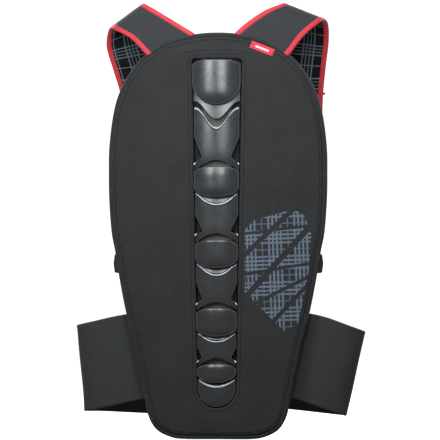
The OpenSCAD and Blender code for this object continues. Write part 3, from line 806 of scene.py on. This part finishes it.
def make_carrier():
    """The flexible strip that the plates sit on: flat across with fine crosswise ribs, and a rounded
    rail along each side of the window."""
    bounds = [WINDOW_TOP - 0.25] + SPLIT_Z + [WINDOW_BOTTOM + 0.4]
    for number in range(5):
        z = np.linspace(bounds[number], bounds[number + 1], int((bounds[number] - bounds[number + 1]) / 0.8))
        half = np.maximum(window_edge(z) - 0.15, 0.5)
        share = np.concatenate([np.linspace(-1, -0.9, 12)[:-1], np.linspace(-0.9, 0.9, 31),
                                np.linspace(0.9, 1, 12)[1:]])
        x = half[:, None] * share
        from_side = half[:, None] - abs(x)
        rail = 3.6 * np.exp(-((from_side - 1.0) / 0.62) ** 2)
        rib = 0.16 * np.cos(2 * np.pi * z[:, None] / 2.4) * np.clip(from_side / 4 - 0.5, 0, 1)
        depth = PLATE_BASE - 0.15 + rail + rib
        flat = np.stack([x, np.broadcast_to(z[:, None], x.shape)], -1)
        piece = surface(f"plate_carrier_{number + 1}", closed_sheet(
            panel_points(flat, depth), panel_points(flat, 0 * depth + 1.6)), CARRIER)
        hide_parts(*zone_nodes("carrier", number))
        blend_zone(piece)


def plate_crown(x, z, crest, half_width, side_drop, middle, half_length, end_drop, rise=0.2):
    """Height of a plate's face: the crest less a circle's fall across and, along, a fall with the
    fourth power of the distance from the middle, smaller towards the top."""
    across = (half_width ** 2 + side_drop ** 2) / (2 * side_drop)
    share = (z - middle) / half_length
    fall = np.where(share > 0, rise, 1.0) * end_drop * share ** 4
    return crest - (across - np.sqrt(across ** 2 - x ** 2)) - fall


def moulded_plate(name, node, body, top, bottom, half_width, crown, radius=1.1, rows=48, bead=0.0):
    """A moulded plate: its face is a grid from the top edge to the bottom edge, drawn in by radius;
    its edge turns down in a quarter circle to a straight skirt that stands on the carrier."""
    slant = np.radians(np.linspace(-90, 90, 61))
    u = np.sin(slant)[None, :]
    v = np.linspace(0, 1, rows)[:, None]
    inset = np.minimum(radius, (top(u) - bottom(u)) / 3)
    upper, lower = top(u) - inset, bottom(u) + inset
    z = upper + (lower - upper) * v
    x = u * (half_width(z) - radius) + 0 * z
    depth = crown(x, z) + bead * np.exp(-((upper - z - 1.0) / 0.8) ** 2)
    face = np.stack([x, -depth, z], -1)
    loop = np.concatenate([face[0, :-1], face[:-1, -1], face[-1, :0:-1], face[:0:-1, 0]])
    ring = loop[:, [0, 2]]
    step = np.roll(ring, -1, axis=0) - np.roll(ring, 1, axis=0)
    away = unit(np.stack([-step[:, 1], step[:, 0]], -1))
    if ((ring - ring.mean(0)) * away).sum(-1).mean() < 0:
        away = -away
    bend = np.radians(np.linspace(0, 90, 6))
    drop = np.concatenate([radius * (1 - np.cos(bend)), [radius + 1.5]])
    out = np.concatenate([radius * np.sin(bend), [radius]])
    strip = np.repeat(loop[:, None], len(drop) + 1, axis=1)
    strip[:, :-1, [0, 2]] += away[:, None] * out[None, :, None]
    strip[:, :-1, 1] += drop
    strip[:, -1] = strip[:, -2]
    strip[:, -1, 1] = -PLATE_BASE + 0.3
    strip = np.concatenate([strip, strip[:1]])
    centre = np.array([0, -PLATE_BASE + 0.3, float(z.mean())])
    base = np.stack([strip[:, -1], np.broadcast_to(centre, strip[:, -1].shape)])
    lip = 2 if bead else 1
    # A beaded plate's top rows take the pale lip colour, a painted highlight.
    piece = surface(name, [face[:lip + 1], face[lip:], strip, base], [PLATE, PLATE_EDGE, LIP_HIGHLIGHT],
                    fills=[2 if bead else 0, 0, 1, 0], sharp=55)
    settle("plate_plastic", body, piece)
    if node:
        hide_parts(node)


def room(z, gap):
    """Half the width that a plate has at height z, less its gap to the window's edge."""
    return float(window_half(z)) - gap


def tongue_edge(x, side_bottom, tongue):
    """A dome's lower edge: half an ellipse from its sides down to its tongue."""
    reach = room(side_bottom, DOME_GAP)
    return side_bottom - (side_bottom - tongue) * np.sqrt(np.clip(1 - (x / reach) ** 2, 0, 1))


def dome(number, body, top, side_bottom, tongue, rise):
    """A dome: a flat arch above, straight sides and a half ellipse below. rise is the share of its
    fall that it has towards the top as well."""
    reach = room(side_bottom, DOME_GAP)
    middle, half = (top + tongue) / 2, (top - tongue) / 2 + 1
    moulded_plate(
        f"spine_dome_plate_{number}", f"spine_dome_{number}", body,
        lambda u: top - 5 * abs(u) ** 4.5,
        lambda u: tongue_edge(u * reach, side_bottom, tongue),
        lambda z: reach,
        lambda x, z: plate_crown(x, z, 23, reach + 1, 8, middle, half, 5, rise),
        radius=1.3)


def lip_edge(x, row):
    """A link's upper edge: it dips from its sides to its middle, in a wave below the first flange
    and in a wide bowl below a dome, and gives way to the dome above."""
    u = np.clip(abs(x) / room(row.shoulder, LINK_GAP), 0, 1)
    first = row is PLATE_ROWS[0]
    share = (1 - np.cos(np.pi * u)) / 2 if first else u ** 2.1
    curve = row.lip_middle + (row.lip_side - row.lip_middle) * share
    if not first:
        above = PLATE_ROWS[PLATE_ROWS.index(row) - 1]
        curve = np.minimum(curve, tongue_edge(x, above.dome_side, above.tongue) - 1.1)
    return curve


def link(number, body, row):
    """A link: a lip, a notch in each side and an arched foot."""
    reach, foot = room(row.shoulder, LINK_GAP), room(row.foot, LINK_GAP)

    def side(z):
        knots_z = [row.arch_side - 9, row.foot, row.notch, row.shoulder, row.lip_side + 9]
        knots_x = [foot, foot, row.waist - 0.5, reach, reach]
        spread = np.linspace(-1.0, 1.0, 7)
        return np.mean([np.interp(z + s, knots_z, knots_x) for s in spread], axis=0)

    middle, half = (row.lip_side + row.arch_side) / 2, (row.lip_side - row.arch_side) / 2 + 1
    moulded_plate(
        f"spine_link_plate_{number}", f"spine_link_{number}", body,
        lambda u: lip_edge(u * reach, row),
        lambda u: row.arch_middle + (row.arch_side - row.arch_middle) * u ** 2, side,
        lambda x, z: plate_crown(x, z, 17.5, reach + 1, 6, middle, half, 3),
        radius=0.9, rows=72, bead=0.7)


def link_clips(number, body, row):
    """Two small beads at the foot of a link's notches, each leaning in towards the top, in a very pale colour
    that is a painted glint.
    """
    edge = room(row.foot, 0)
    lines = [(np.array([[side * (edge - 0.9), -15.2, row.foot - 1.3],
                        [side * (edge - 3.3), -15.2, row.foot + 2.1]]),
              np.array([[0, -1.0, 0], [0, -1.0, 0]])) for side in (-1, 1)]
    settle("plate_plastic", body,
           sewing(f"link_clips_{number}", lines, 4.1, (4.1, 1.7, 1.3), CLIP_GLINT))


def dome_flange(number, body, row, lip):
    """The low flange that shows as a crescent between a dome's tongue and the lip below it."""
    edge = lambda x: tongue_edge(x, row.dome_side, row.tongue) - 0.15
    line = np.linspace(0, room(row.dome_side, 1.8), 200)
    reach = float(line[edge(line) - lip(line) > 0.9][-1])
    moulded_plate(
        f"spine_dome_flange_{number}", None, body, lambda u: edge(u * reach),
        lambda u: lip(u * reach) + 0.45, lambda z: reach,
        lambda x, z: plate_crown(x, z, 13.2, 30, 5, row.tongue, 30, 0) - 0.25 * (z - row.tongue),
        radius=0.3, rows=10)


FIRST_RISE, DOME_RISES = 0.25, [0.45, 0.05, 0.2, 0.4]


def make_plates():
    """The first dome with its flange, four links that each carry a dome with its own flange and two
    clips, and the tail."""
    dome(1, "upper_back", *FIRST_DOME, FIRST_RISE)
    _, side_bottom, tongue = FIRST_DOME
    reach = room(side_bottom, 1.1)
    moulded_plate(
        "spine_flange_plate", "spine_flange_1", "upper_back",
        lambda u: tongue_edge(u * reach, side_bottom, tongue) - 0.4,
        lambda u: 149.1 + 22.4 * (1 - np.cos(np.pi * u)) / 2,
        lambda z: reach - 0.12 * np.clip(side_bottom - z, 0, 8),
        lambda x, z: plate_crown(x, z, 15.2, reach + 1, 4, 168, 40, 0) - 0.16 * (z - 158),
        radius=0.9, rows=24)
    tail_reach = room(TAIL, LINK_GAP)
    lips = [lambda x, row=row: lip_edge(x, row) for row in PLATE_ROWS[1:]]
    lips.append(lambda x: -191 + 8.3 * (x / tail_reach) ** 2)
    for number, (row, body, rise, lip) in enumerate(zip(PLATE_ROWS, BACKS[1:], DOME_RISES, lips), 2):
        link(number, body, row)
        link_clips(number, body, row)
        dome(number, body, row.dome_top, row.dome_side, row.tongue, rise)
        dome_flange(number, body, row, lip)
    moulded_plate(
        "spine_tail_plate", "spine_tail", "back_6", lambda u: lips[-1](u * tail_reach),
        lambda u: -196 - 22.2 * np.sqrt(np.clip(1 - u ** 2, 0, 1)), lambda z: tail_reach,
        lambda x, z: plate_crown(x, z, 19.5, tail_reach + 1, 7, TAIL, 20, 5),
        radius=1.1, rows=30, bead=0.5)


make_carrier()
make_plates()


# ---- Bands: straps and belt ----

def band_points(stations, at, edge, shift, lift, upright=False):
    """Points of a band: at station number at, edge times the half width plus shift millimetres
    across, and lift millimetres along the band's normal, which looks to the wearer. The width lies
    in X and Z, tilted from X for a strap and from Z for the belt."""
    at, edge, shift, lift = np.broadcast_arrays(*(np.asarray(v, float) for v in (at, edge, shift, lift)))
    last = len(stations) - 1
    here = smooth_curve(stations, np.clip(at, 0, last))
    ahead = smooth_curve(stations, np.clip(at + 0.02, 0, last))[..., :3]
    behind = smooth_curve(stations, np.clip(at - 0.02, 0, last))[..., :3]
    lean = np.radians(here[..., 3])
    across = np.stack([np.sin(lean), 0 * lean, np.cos(lean)] if upright
                      else [np.cos(lean), 0 * lean, np.sin(lean)], -1)
    normal = unit(np.cross(unit(ahead - behind), across))
    half = here[..., 4] * (BELT_HALF if upright else 1)
    return here[..., :3] + across * (edge * half + shift)[..., None] + normal * lift[..., None], normal


def band_run(stations, at):
    """Length along the middle of a band from its first station to station number at."""
    even = np.linspace(0, len(stations) - 1, 400)
    return np.interp(at, even, travel(smooth_curve(stations, even)[:, :3]))


def root_of(stations, edge):
    """The station number at which each lengthwise line of a strap comes out from under the rim:
    the last one that lies inside the outline drawn in by three millimetres."""
    at = np.linspace(0, 3.5, 500)
    spots = band_points(stations, at[None], np.asarray(edge)[:, None], 0, 0)[0]
    hull = OUTLINE_LOOP + INWARD * 3.0
    angle = np.arctan2(abs(spots[..., 0]), spots[..., 2])
    ring = np.arctan2(hull[:, 0], hull[:, 1])
    radius = np.interp(angle, ring, np.hypot(hull[:, 0], hull[:, 1]))
    inside = np.hypot(spots[..., 0], spots[..., 2]) < radius
    return at[np.where(inside.any(1), inside.shape[1] - 1 - np.argmax(inside[:, ::-1], axis=1), 0)]


def strap_sections(stations, profile, rows, stop):
    """A closed profile of (edge share, shift, lift) carried along a strap from under the rim to
    station stop; each line of it starts where it leaves the panel."""
    profile = np.vstack([profile, profile[:1]])
    start = root_of(stations, profile[:, 0] * 0.96)
    at = start + (stop - start) * np.linspace(0, 1, rows)[:, None]
    spots = band_points(stations, at, profile[:, 0], profile[:, 1], profile[:, 2])[0]
    girth = travel(np.stack([profile[:, 0] * 28 + profile[:, 1], profile[:, 2]], -1))
    return with_ends(spots), tube_cut(band_run(stations, at), girth)


def make_strap(side):
    """One strap: a soft pad that is thinner at its edges, a plaid lining on the wearer's side, red
    tape folded over both edges and sewn down, and the narrow end that goes to its ring."""
    stations = STRAP[side]
    stop = len(stations) - 1.0
    share = np.linspace(-1, 1, 33)
    swell = 1 - abs(share) ** 6
    outer_face = np.stack([share, -share * 2.6, -(1.55 + 0.85 * swell)], -1)
    inner_face = np.stack([share, -share * 2.6, 1.35 + 0.7 * swell], -1)[::-1]
    patches, uv = strap_sections(stations, np.vstack([outer_face, inner_face]), 190, stop)
    pad = surface(f"strap_pad_{side}", patches, STRAP_CLOTH, cut=uv, sharp=60)

    low = np.stack([share, -share * 4.0, 1.40 + 0.7 * swell], -1)
    high = low + [0, 0, 0.45]
    patches, uv = strap_sections(stations, np.vstack([low, high[::-1]]), 190, stop - 0.9)
    lining = surface(f"strap_lining_{side}", patches, PLAID, cut=uv, sharp=60)

    tape = np.array([(-6.9, -2.0), (-6.2, -2.4), (-4.5, -2.5), (-2.5, -2.45), (-1.0, -1.9), (-0.25, -1.0),
                     (0, 0), (-0.25, 1.0), (-1.0, 1.9), (-2.5, 2.45), (-4.5, 2.5), (-6.2, 2.4), (-6.9, 2.0),
                     (-6.6, 1.5), (-3.0, 1.5), (-1.7, 0), (-3.0, -1.5), (-6.6, -1.5)])
    pieces = [pad, lining]
    for hand, word in ((-1, "inner"), (1, "outer")):
        sign = hand if side == "right" else -hand
        profile = np.stack([np.full(len(tape), sign), sign * tape[:, 0], tape[:, 1]], -1)
        patches, uv = strap_sections(stations, profile, 190, stop - 0.8)
        pieces.append(surface(f"strap_binding_{side}_{word}", patches, BINDING, cut=uv, sharp=60))
        lines = []
        at = np.linspace(root_of(stations, np.array([sign]))[0], stop - 0.85, 500)
        for face in (-1, 1):
            spots, normal = band_points(stations, at, sign, -sign * 5.6, face * 2.48)
            lines.append((spots, normal * face))
        pieces.append(sewing(f"binding_stitching_{side}_{word}", lines, 3.0, (2.2, 0.6, 0.3), RED_THREAD))
    for piece in pieces:
        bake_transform(piece)
    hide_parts(f"strap_back_{side}", f"strap_front_{side}")


def belt_wave(run, share, at):
    """How far the slack elastic stands off its middle surface, past the panel's edge."""
    return ripple(run, [61, 97], 0.5, 0.3) * np.sin(np.pi * share * 1.3) * np.clip((at - 1.5) / 2, 0, 1)


def make_belt(side):
    """Half of the waist belt: elastic with a thicker selvedge along each edge, in two pieces, one for the
    back and one for the front."""
    stations = BELT[side]
    hand = 1 if side == "right" else -1
    share = np.linspace(-1, 1, 61)
    inset = BELT_HALF * (1 - abs(share))
    selvedge = 0.35 * np.exp(-((inset - 1.6) / 1.3) ** 2)
    thick = 1.15 * np.clip(inset / 1.0, 0.15, 1) ** 0.5 + selvedge
    for word, first, last, bodies, zone, nodes in (
            ("back", 0.0, BELT_SPLIT, ("back_5", f"{side}_belt_side"), (2.6, 3.4),
             ("belt_back", f"belt_side_{side}")),
            ("front", BELT_SPLIT, 11.0, (f"{side}_belt_side", f"{side}_belt_front"), (5.35, 6.65),
             (f"belt_front_{side}",))):
        at = np.linspace(first, last, int((last - first) * 16) + 1)[:, None]
        run = band_run(stations, at) + 0 * share
        wave = belt_wave(run, share, at)
        faces = [band_points(stations, at, share, 0, wave + sign * thick, upright=True)[0]
                 for sign in (-1, 1)]
        uv = np.stack([hand * run, np.broadcast_to(share * BELT_HALF, run.shape)], -1)
        piece = surface(f"waist_belt_{side}_{word}", closed_sheet(*faces), BELT_CLOTH,
                        cut=closed_sheet(uv, uv), sharp=70)
        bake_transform(piece)
        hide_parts(*nodes)


def touch_tape(name, node, side, first, last, lift, material):
    """Touch tape sewn to the belt's outside, with round corners and a row of stitches inside them."""
    stations = BELT[side]
    share = np.linspace(-1, 1, 41)
    reach = 0.86 * np.clip((1 - abs(np.linspace(-1, 1, 61)) ** 26), 0, 1) ** 0.2
    at = np.linspace(first, last - 0.02, 61)[:, None]
    across = reach[:, None] * share
    wave = belt_wave(band_run(stations, at) + 0 * across, across, at)
    faces = [band_points(stations, at, across, 0, wave - h, upright=True)[0] for h in lift]
    tape = surface(name, closed_sheet(*faces), material, sharp=60)
    lines = []
    where = np.linspace(first + 0.05, last - 0.08, 200)
    for edge in (-0.82, 0.82):
        rise = belt_wave(band_run(stations, where), edge, where) - lift[1] - 0.02
        spots, normal = band_points(stations, where, edge, 0, rise, upright=True)
        lines.append((spots, -normal))
    thread = sewing(f"{name}_stitching", lines, 3.2, (2.2, 0.6, 0.3), BLACK_THREAD)
    settle("touch_tape", f"{side}_belt_front", tape, thread)
    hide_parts(node)


for side in SIDES:
    make_strap(side)
for side in SIDES:
    make_belt(side)
touch_tape("hook_tape_patch", "hook_tab", "right", 10, 11, (1.75, 2.9), HOOKS)
touch_tape("loop_tape_patch", "loop_patch", "left", 9, 11, (1.75, 2.6), LOOPS)


# ---- Webbing, tabs and tag ----

LINE_FOOT, RING_BAR = np.array([15.8, -35.5]), np.array([56.0, 30.0])
LINE_LENGTH = float(np.linalg.norm(RING_BAR - LINE_FOOT))
LINE_WAY = (RING_BAR - LINE_FOOT) / LINE_LENGTH
RING_PITCH = 13.0
TAB_CENTRE = (117.6, -35.5)
TAG_CENTRE, TAG_LEAN = (58.4, 239), math.radians(21)


def sewn_strip(name, side, route, width, thickness):
    """A narrow woven strip with rounded selvedges along a route of (distance, height) on the
    webbing's line, which rises from the panel's edge to the strap's ring."""
    side = 1 if side == "right" else -1
    route = evenly(smooth_curve(np.array(route, float), np.linspace(0, len(route) - 1, 300)), 1.2)
    path = np.stack([np.full(len(route), 116.0 * side),
                     LINE_FOOT[0] + route[:, 0] * LINE_WAY[0] - route[:, 1] * LINE_WAY[1],
                     LINE_FOOT[1] + route[:, 0] * LINE_WAY[1] + route[:, 1] * LINE_WAY[0]], -1)
    across = np.broadcast_to([1.0, 0.0, 0.0], path.shape)
    up = unit(np.cross(across, np.gradient(path, axis=0)))
    turn = np.radians(np.linspace(-90, 90, 7))
    half, thick = width / 2, thickness / 2
    cap = np.stack([half - thick + thick * np.cos(turn), thick * np.sin(turn)], -1)
    middle = np.linspace(half - thick, -half + thick, 14)[1:-1]
    profile = np.vstack([cap, np.stack([middle, 0 * middle + thick], -1), -cap,
                         np.stack([-middle, 0 * middle - thick], -1)])
    profile = np.vstack([profile, profile[:1]])
    tube = path[:, None] + across[:, None] * profile[None, :, :1] + up[:, None] * profile[None, :, 1:]
    return surface(name, with_ends(tube), WEBBING, cut=tube_cut(travel(path)[:, None], travel(profile)),
                   sharp=60)


def make_webbing(side):
    """The adjusting webbing up from its tab, round the ring's lower bar and back to a free end that
    is folded over; and the loop that the strap's end makes round the upper bar."""
    bend = np.radians(np.linspace(-80, 80, 7))
    turn = np.stack([LINE_LENGTH + 5.2 * np.cos(bend), 5.2 * np.sin(bend)], -1)
    route = [(-0.6, 0), (5, -0.5), (12, -2.0), (22, -2.1), (36, -2.1), (50, -2.1), (62, -3.4),
             *turn, (62, 3.4), (50, 2.1), (36, 2.1), (22, 2.1), (15.5, 2.1)]
    web = sewn_strip(f"webbing_strap_{side}", side, route, 24.6, 1.5)
    settle("webbing", f"{side}_webbing", web)
    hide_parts(f"webbing_{side}")
    bar = LINE_LENGTH + RING_PITCH
    bend = np.radians(np.linspace(100, 260, 7))
    turn = np.stack([bar + 3.1 * np.cos(bend), 3.1 * np.sin(bend)], -1)
    loop = sewn_strip(f"strap_end_loop_{side}", side, [(bar + 11.4, 1.5), (bar + 6, 1.7), *turn,
                                                       (bar + 6, -1.7), (bar + 11.4, -1.5)],
                      24.6, 1.3)
    settle("webbing", f"{side}_strap", loop)
    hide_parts(f"strap_loop_{side}")

    hand = 1 if side == "right" else -1
    share = np.linspace(-1, 1, 29)
    round_off = lambda v: np.clip(1 - abs(v) ** 22, 0, 1) ** 0.25
    a, b = np.meshgrid(share, share, indexing="ij")
    x = hand * (TAB_CENTRE[0] + 17.4 * a * round_off(b))
    z = TAB_CENTRE[1] + 13.3 * b * round_off(a)
    edge = np.maximum(abs(a), abs(b))
    thick = 0.95 * np.clip((1 - edge) / 0.08, 0.25, 1) ** 0.5
    faces = [np.stack([x, wrap_y(x) + 1.15 + sign * thick, z], -1) for sign in (-1, 1)]
    tab = surface(f"anchor_patch_{side}", closed_sheet(*faces), WEBBING, sharp=60)
    frame_x = TAB_CENTRE[0] + 14.0 * np.array([-1, 1, 1, -1, -1, 1, 1, -1, -1])
    frame_z = TAB_CENTRE[1] + 10.0 * np.array([-1, -1, 1, 1, -1, 1, -1, 1, -1])
    spots = panel_points(evenly(np.stack([hand * frame_x, frame_z], -1), 1.0), -2.1)
    thread = sewing(f"anchor_stitching_{side}", [(spots, np.broadcast_to([0, 1.0, 0], spots.shape))],
                    3.0, (2.1, 0.6, 0.3), BLACK_THREAD)
    settle("webbing", "back_3", tab, thread)
    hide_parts(f"anchor_tab_{side}")


def tag_points(along, across):
    """The tag's own (along, across) as points in X and Z."""
    return np.stack([TAG_CENTRE[0] + along * math.cos(TAG_LEAN) + across * math.sin(TAG_LEAN),
                     TAG_CENTRE[1] - along * math.sin(TAG_LEAN) + across * math.cos(TAG_LEAN)], -1)


def make_tag():
    """A folded woven tag sewn across the panel's top corner, with a plain pale stripe."""
    a, b = np.meshgrid(np.linspace(-15.5, 15.5, 41), np.linspace(-4.8, 4.8, 17), indexing="ij")
    near_edge = np.minimum(15.5 - abs(a), 4.8 - abs(b))
    depth = 15.9 + 1.0 * np.clip(near_edge / 0.7, 0, 1) ** 0.5 + 0.12 * np.sin(a / 3.1)
    flat = tag_points(a, b)
    cut = np.stack([a, b], -1)
    tag = surface("name_tag_label",
                  closed_sheet(panel_points(flat, depth), panel_points(flat, 0 * depth + 15.6)),
                  TAG, cut=closed_sheet(cut, cut), sharp=60)
    lines = []
    for end in (-13.9, 13.9):
        spots = panel_points(tag_points(end, np.linspace(-4.2, 4.2, 12)), 16.95 + 0.12 * math.sin(end / 3.1))
        lines.append((spots, np.broadcast_to([0, -1.0, 0], spots.shape)))
    thread = sewing("name_tag_stitching", lines, 1.9, (1.5, 0.5, 0.25), RED_THREAD)
    settle("tag_fabric", "upper_back", tag, thread)
    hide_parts("name_tag")


def make_back_pad():
    """The padded spacer between the panel and the belt: a mesh pillow with a piped edge."""
    share = np.linspace(-1, 1, 61)
    a, b = np.meshgrid(share, share, indexing="ij")
    x = 44.6 * a * np.clip(1 - abs(b) ** 14, 0, 1) ** 0.12
    z = -160 + 25.6 * b * np.clip(1 - abs(a) ** 24, 0, 1) ** 0.12
    edge = np.maximum(abs(a) ** 10, abs(b) ** 6)
    near, far = wrap_y(x) + 0.25, 6.95
    middle = (near + far) / 2
    swell = np.sqrt(np.clip(1 - edge, 0, 1))
    faces = [np.stack([x, middle + (end - middle) * (0.25 + 0.75 * swell), z], -1) for end in (near, far)]
    pad = surface("belt_back_pad", closed_sheet(*faces), LINING, sharp=60)
    settle("lining_mesh", "back_5", pad)
    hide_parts("belt_mount_pad")


def make_thread_nub():
    """The knotted end of the red sewing thread on the right strap's outer edge."""
    spots = band_points(STRAP["right"], np.array([7.86, 7.94]), 1.0, 1.1, 0.3)[0]
    away = np.array([[1.0, 0, 0], [1.0, 0, 0]])
    settle("strap_fabric", "right_strap",
           sewing("binding_thread_end", [(spots, away)], 2.6, (3.4, 2.2, 1.9), RED_THREAD))


for side in SIDES:
    make_webbing(side)
make_tag()
make_back_pad()
make_thread_nub()

for name in ("strap_ring_right", "strap_ring_left", "slider_right", "slider_left"):
    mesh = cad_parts[name].data
    mesh.materials.clear()
    mesh.materials.append(HARDWARE)


# ---- Studio ----

def stage_piece(name, points, glow, shade):
    """A plain pale surface of the studio, which is seen but throws no light on the object."""
    f = Finish(name, roughness=0.9)
    f.wear("Base Color", (shade, shade, shade))
    f.wear("Emission Color", (1.0, 1.0, 1.0))
    f.wear("Emission Strength", glow)
    piece = surface(name, [points], f.material, turn_out=False)
    for ray in ("visible_diffuse", "visible_glossy", "visible_transmission", "visible_shadow"):
        setattr(piece, ray, False)


def make_studio():
    """A white surround and a slightly dimmer floor, a faint world light, two tall soft lights high in
    front, one above and two behind, and a long lens a few degrees to the right of square."""
    turn = np.linspace(0, 2 * np.pi, 65)[None, :]
    rise = np.radians(np.linspace(-90, 90, 33))[:, None]
    radius = 13000.0
    dome_points = np.stack([radius * np.cos(rise) * np.cos(turn), radius * np.cos(rise) * np.sin(turn),
                            radius * np.sin(rise) + 0 * turn], -1)
    stage_piece("studio_surround", dome_points, 1.0, 0.8)
    ring = np.linspace(0, 12500, 12)[:, None]
    floor = np.stack([ring * np.cos(turn), ring * np.sin(turn), -262.5 + 0 * ring * turn], -1)
    stage_piece("studio_floor", floor, 0.85, 0.85)

    world = bpy.data.worlds.new("studio_air")
    world.use_nodes = True
    air = world.node_tree.nodes["Background"]
    air.inputs["Color"].default_value = (1.0, 0.99, 0.98, 1)
    air.inputs["Strength"].default_value = 0.25
    bpy.context.scene.world = world

    for name, place, aim, size, power in (
            ("strip_left", (-0.293, -0.80, 0.50), (-0.10, 0, 0.50), (0.20, 0.68), 5.8),
            ("strip_right", (0.111, -0.80, 0.50), (0.06, 0, 0.50), (0.20, 0.68), 5.8),
            ("soft_above", (0.0, -0.75, 0.98), (0, 0, 0.05), (0.9, 0.32), 5.0),
            ("soft_behind_left", (-0.95, 1.35, 0.75), (0, 0.05, 0), (0.8, 1.0), 20),
            ("soft_behind_right", (0.95, 1.35, 0.75), (0, 0.05, 0), (0.8, 1.0), 13)):
        data = bpy.data.lights.new(name, "AREA")
        data.shape = "RECTANGLE"
        data.size, data.size_y = size
        data.energy = power
        data.color = (0.91, 0.96, 1.0)
        light = bpy.data.objects.new(name, data)
        light.visible_camera = False
        bpy.context.scene.collection.objects.link(light)
        light.location = place
        toward = np.array(aim) - np.array(place)
        light.rotation_euler = Vector(toward).to_track_quat("-Z", "Y").to_euler()

    camera = bpy.data.cameras.new("long_lens")
    camera.sensor_width = 36.0
    distance, across = 6.0, 0.5632
    camera.lens = camera.sensor_width * distance / across
    camera.clip_end = 40.0
    eye = bpy.data.objects.new("long_lens", camera)
    bpy.context.scene.collection.objects.link(eye)
    yaw = math.radians(4.5)
    centre = np.array([0.0033 * math.cos(yaw), 0.0033 * math.sin(yaw), 0.0202])
    eye.location = centre + distance * np.array([math.sin(yaw), -math.cos(yaw), 0])
    eye.rotation_euler = (math.radians(90), 0, yaw)
    bpy.context.scene.camera = eye
    bpy.context.scene.view_settings.view_transform = "Standard"


make_studio()
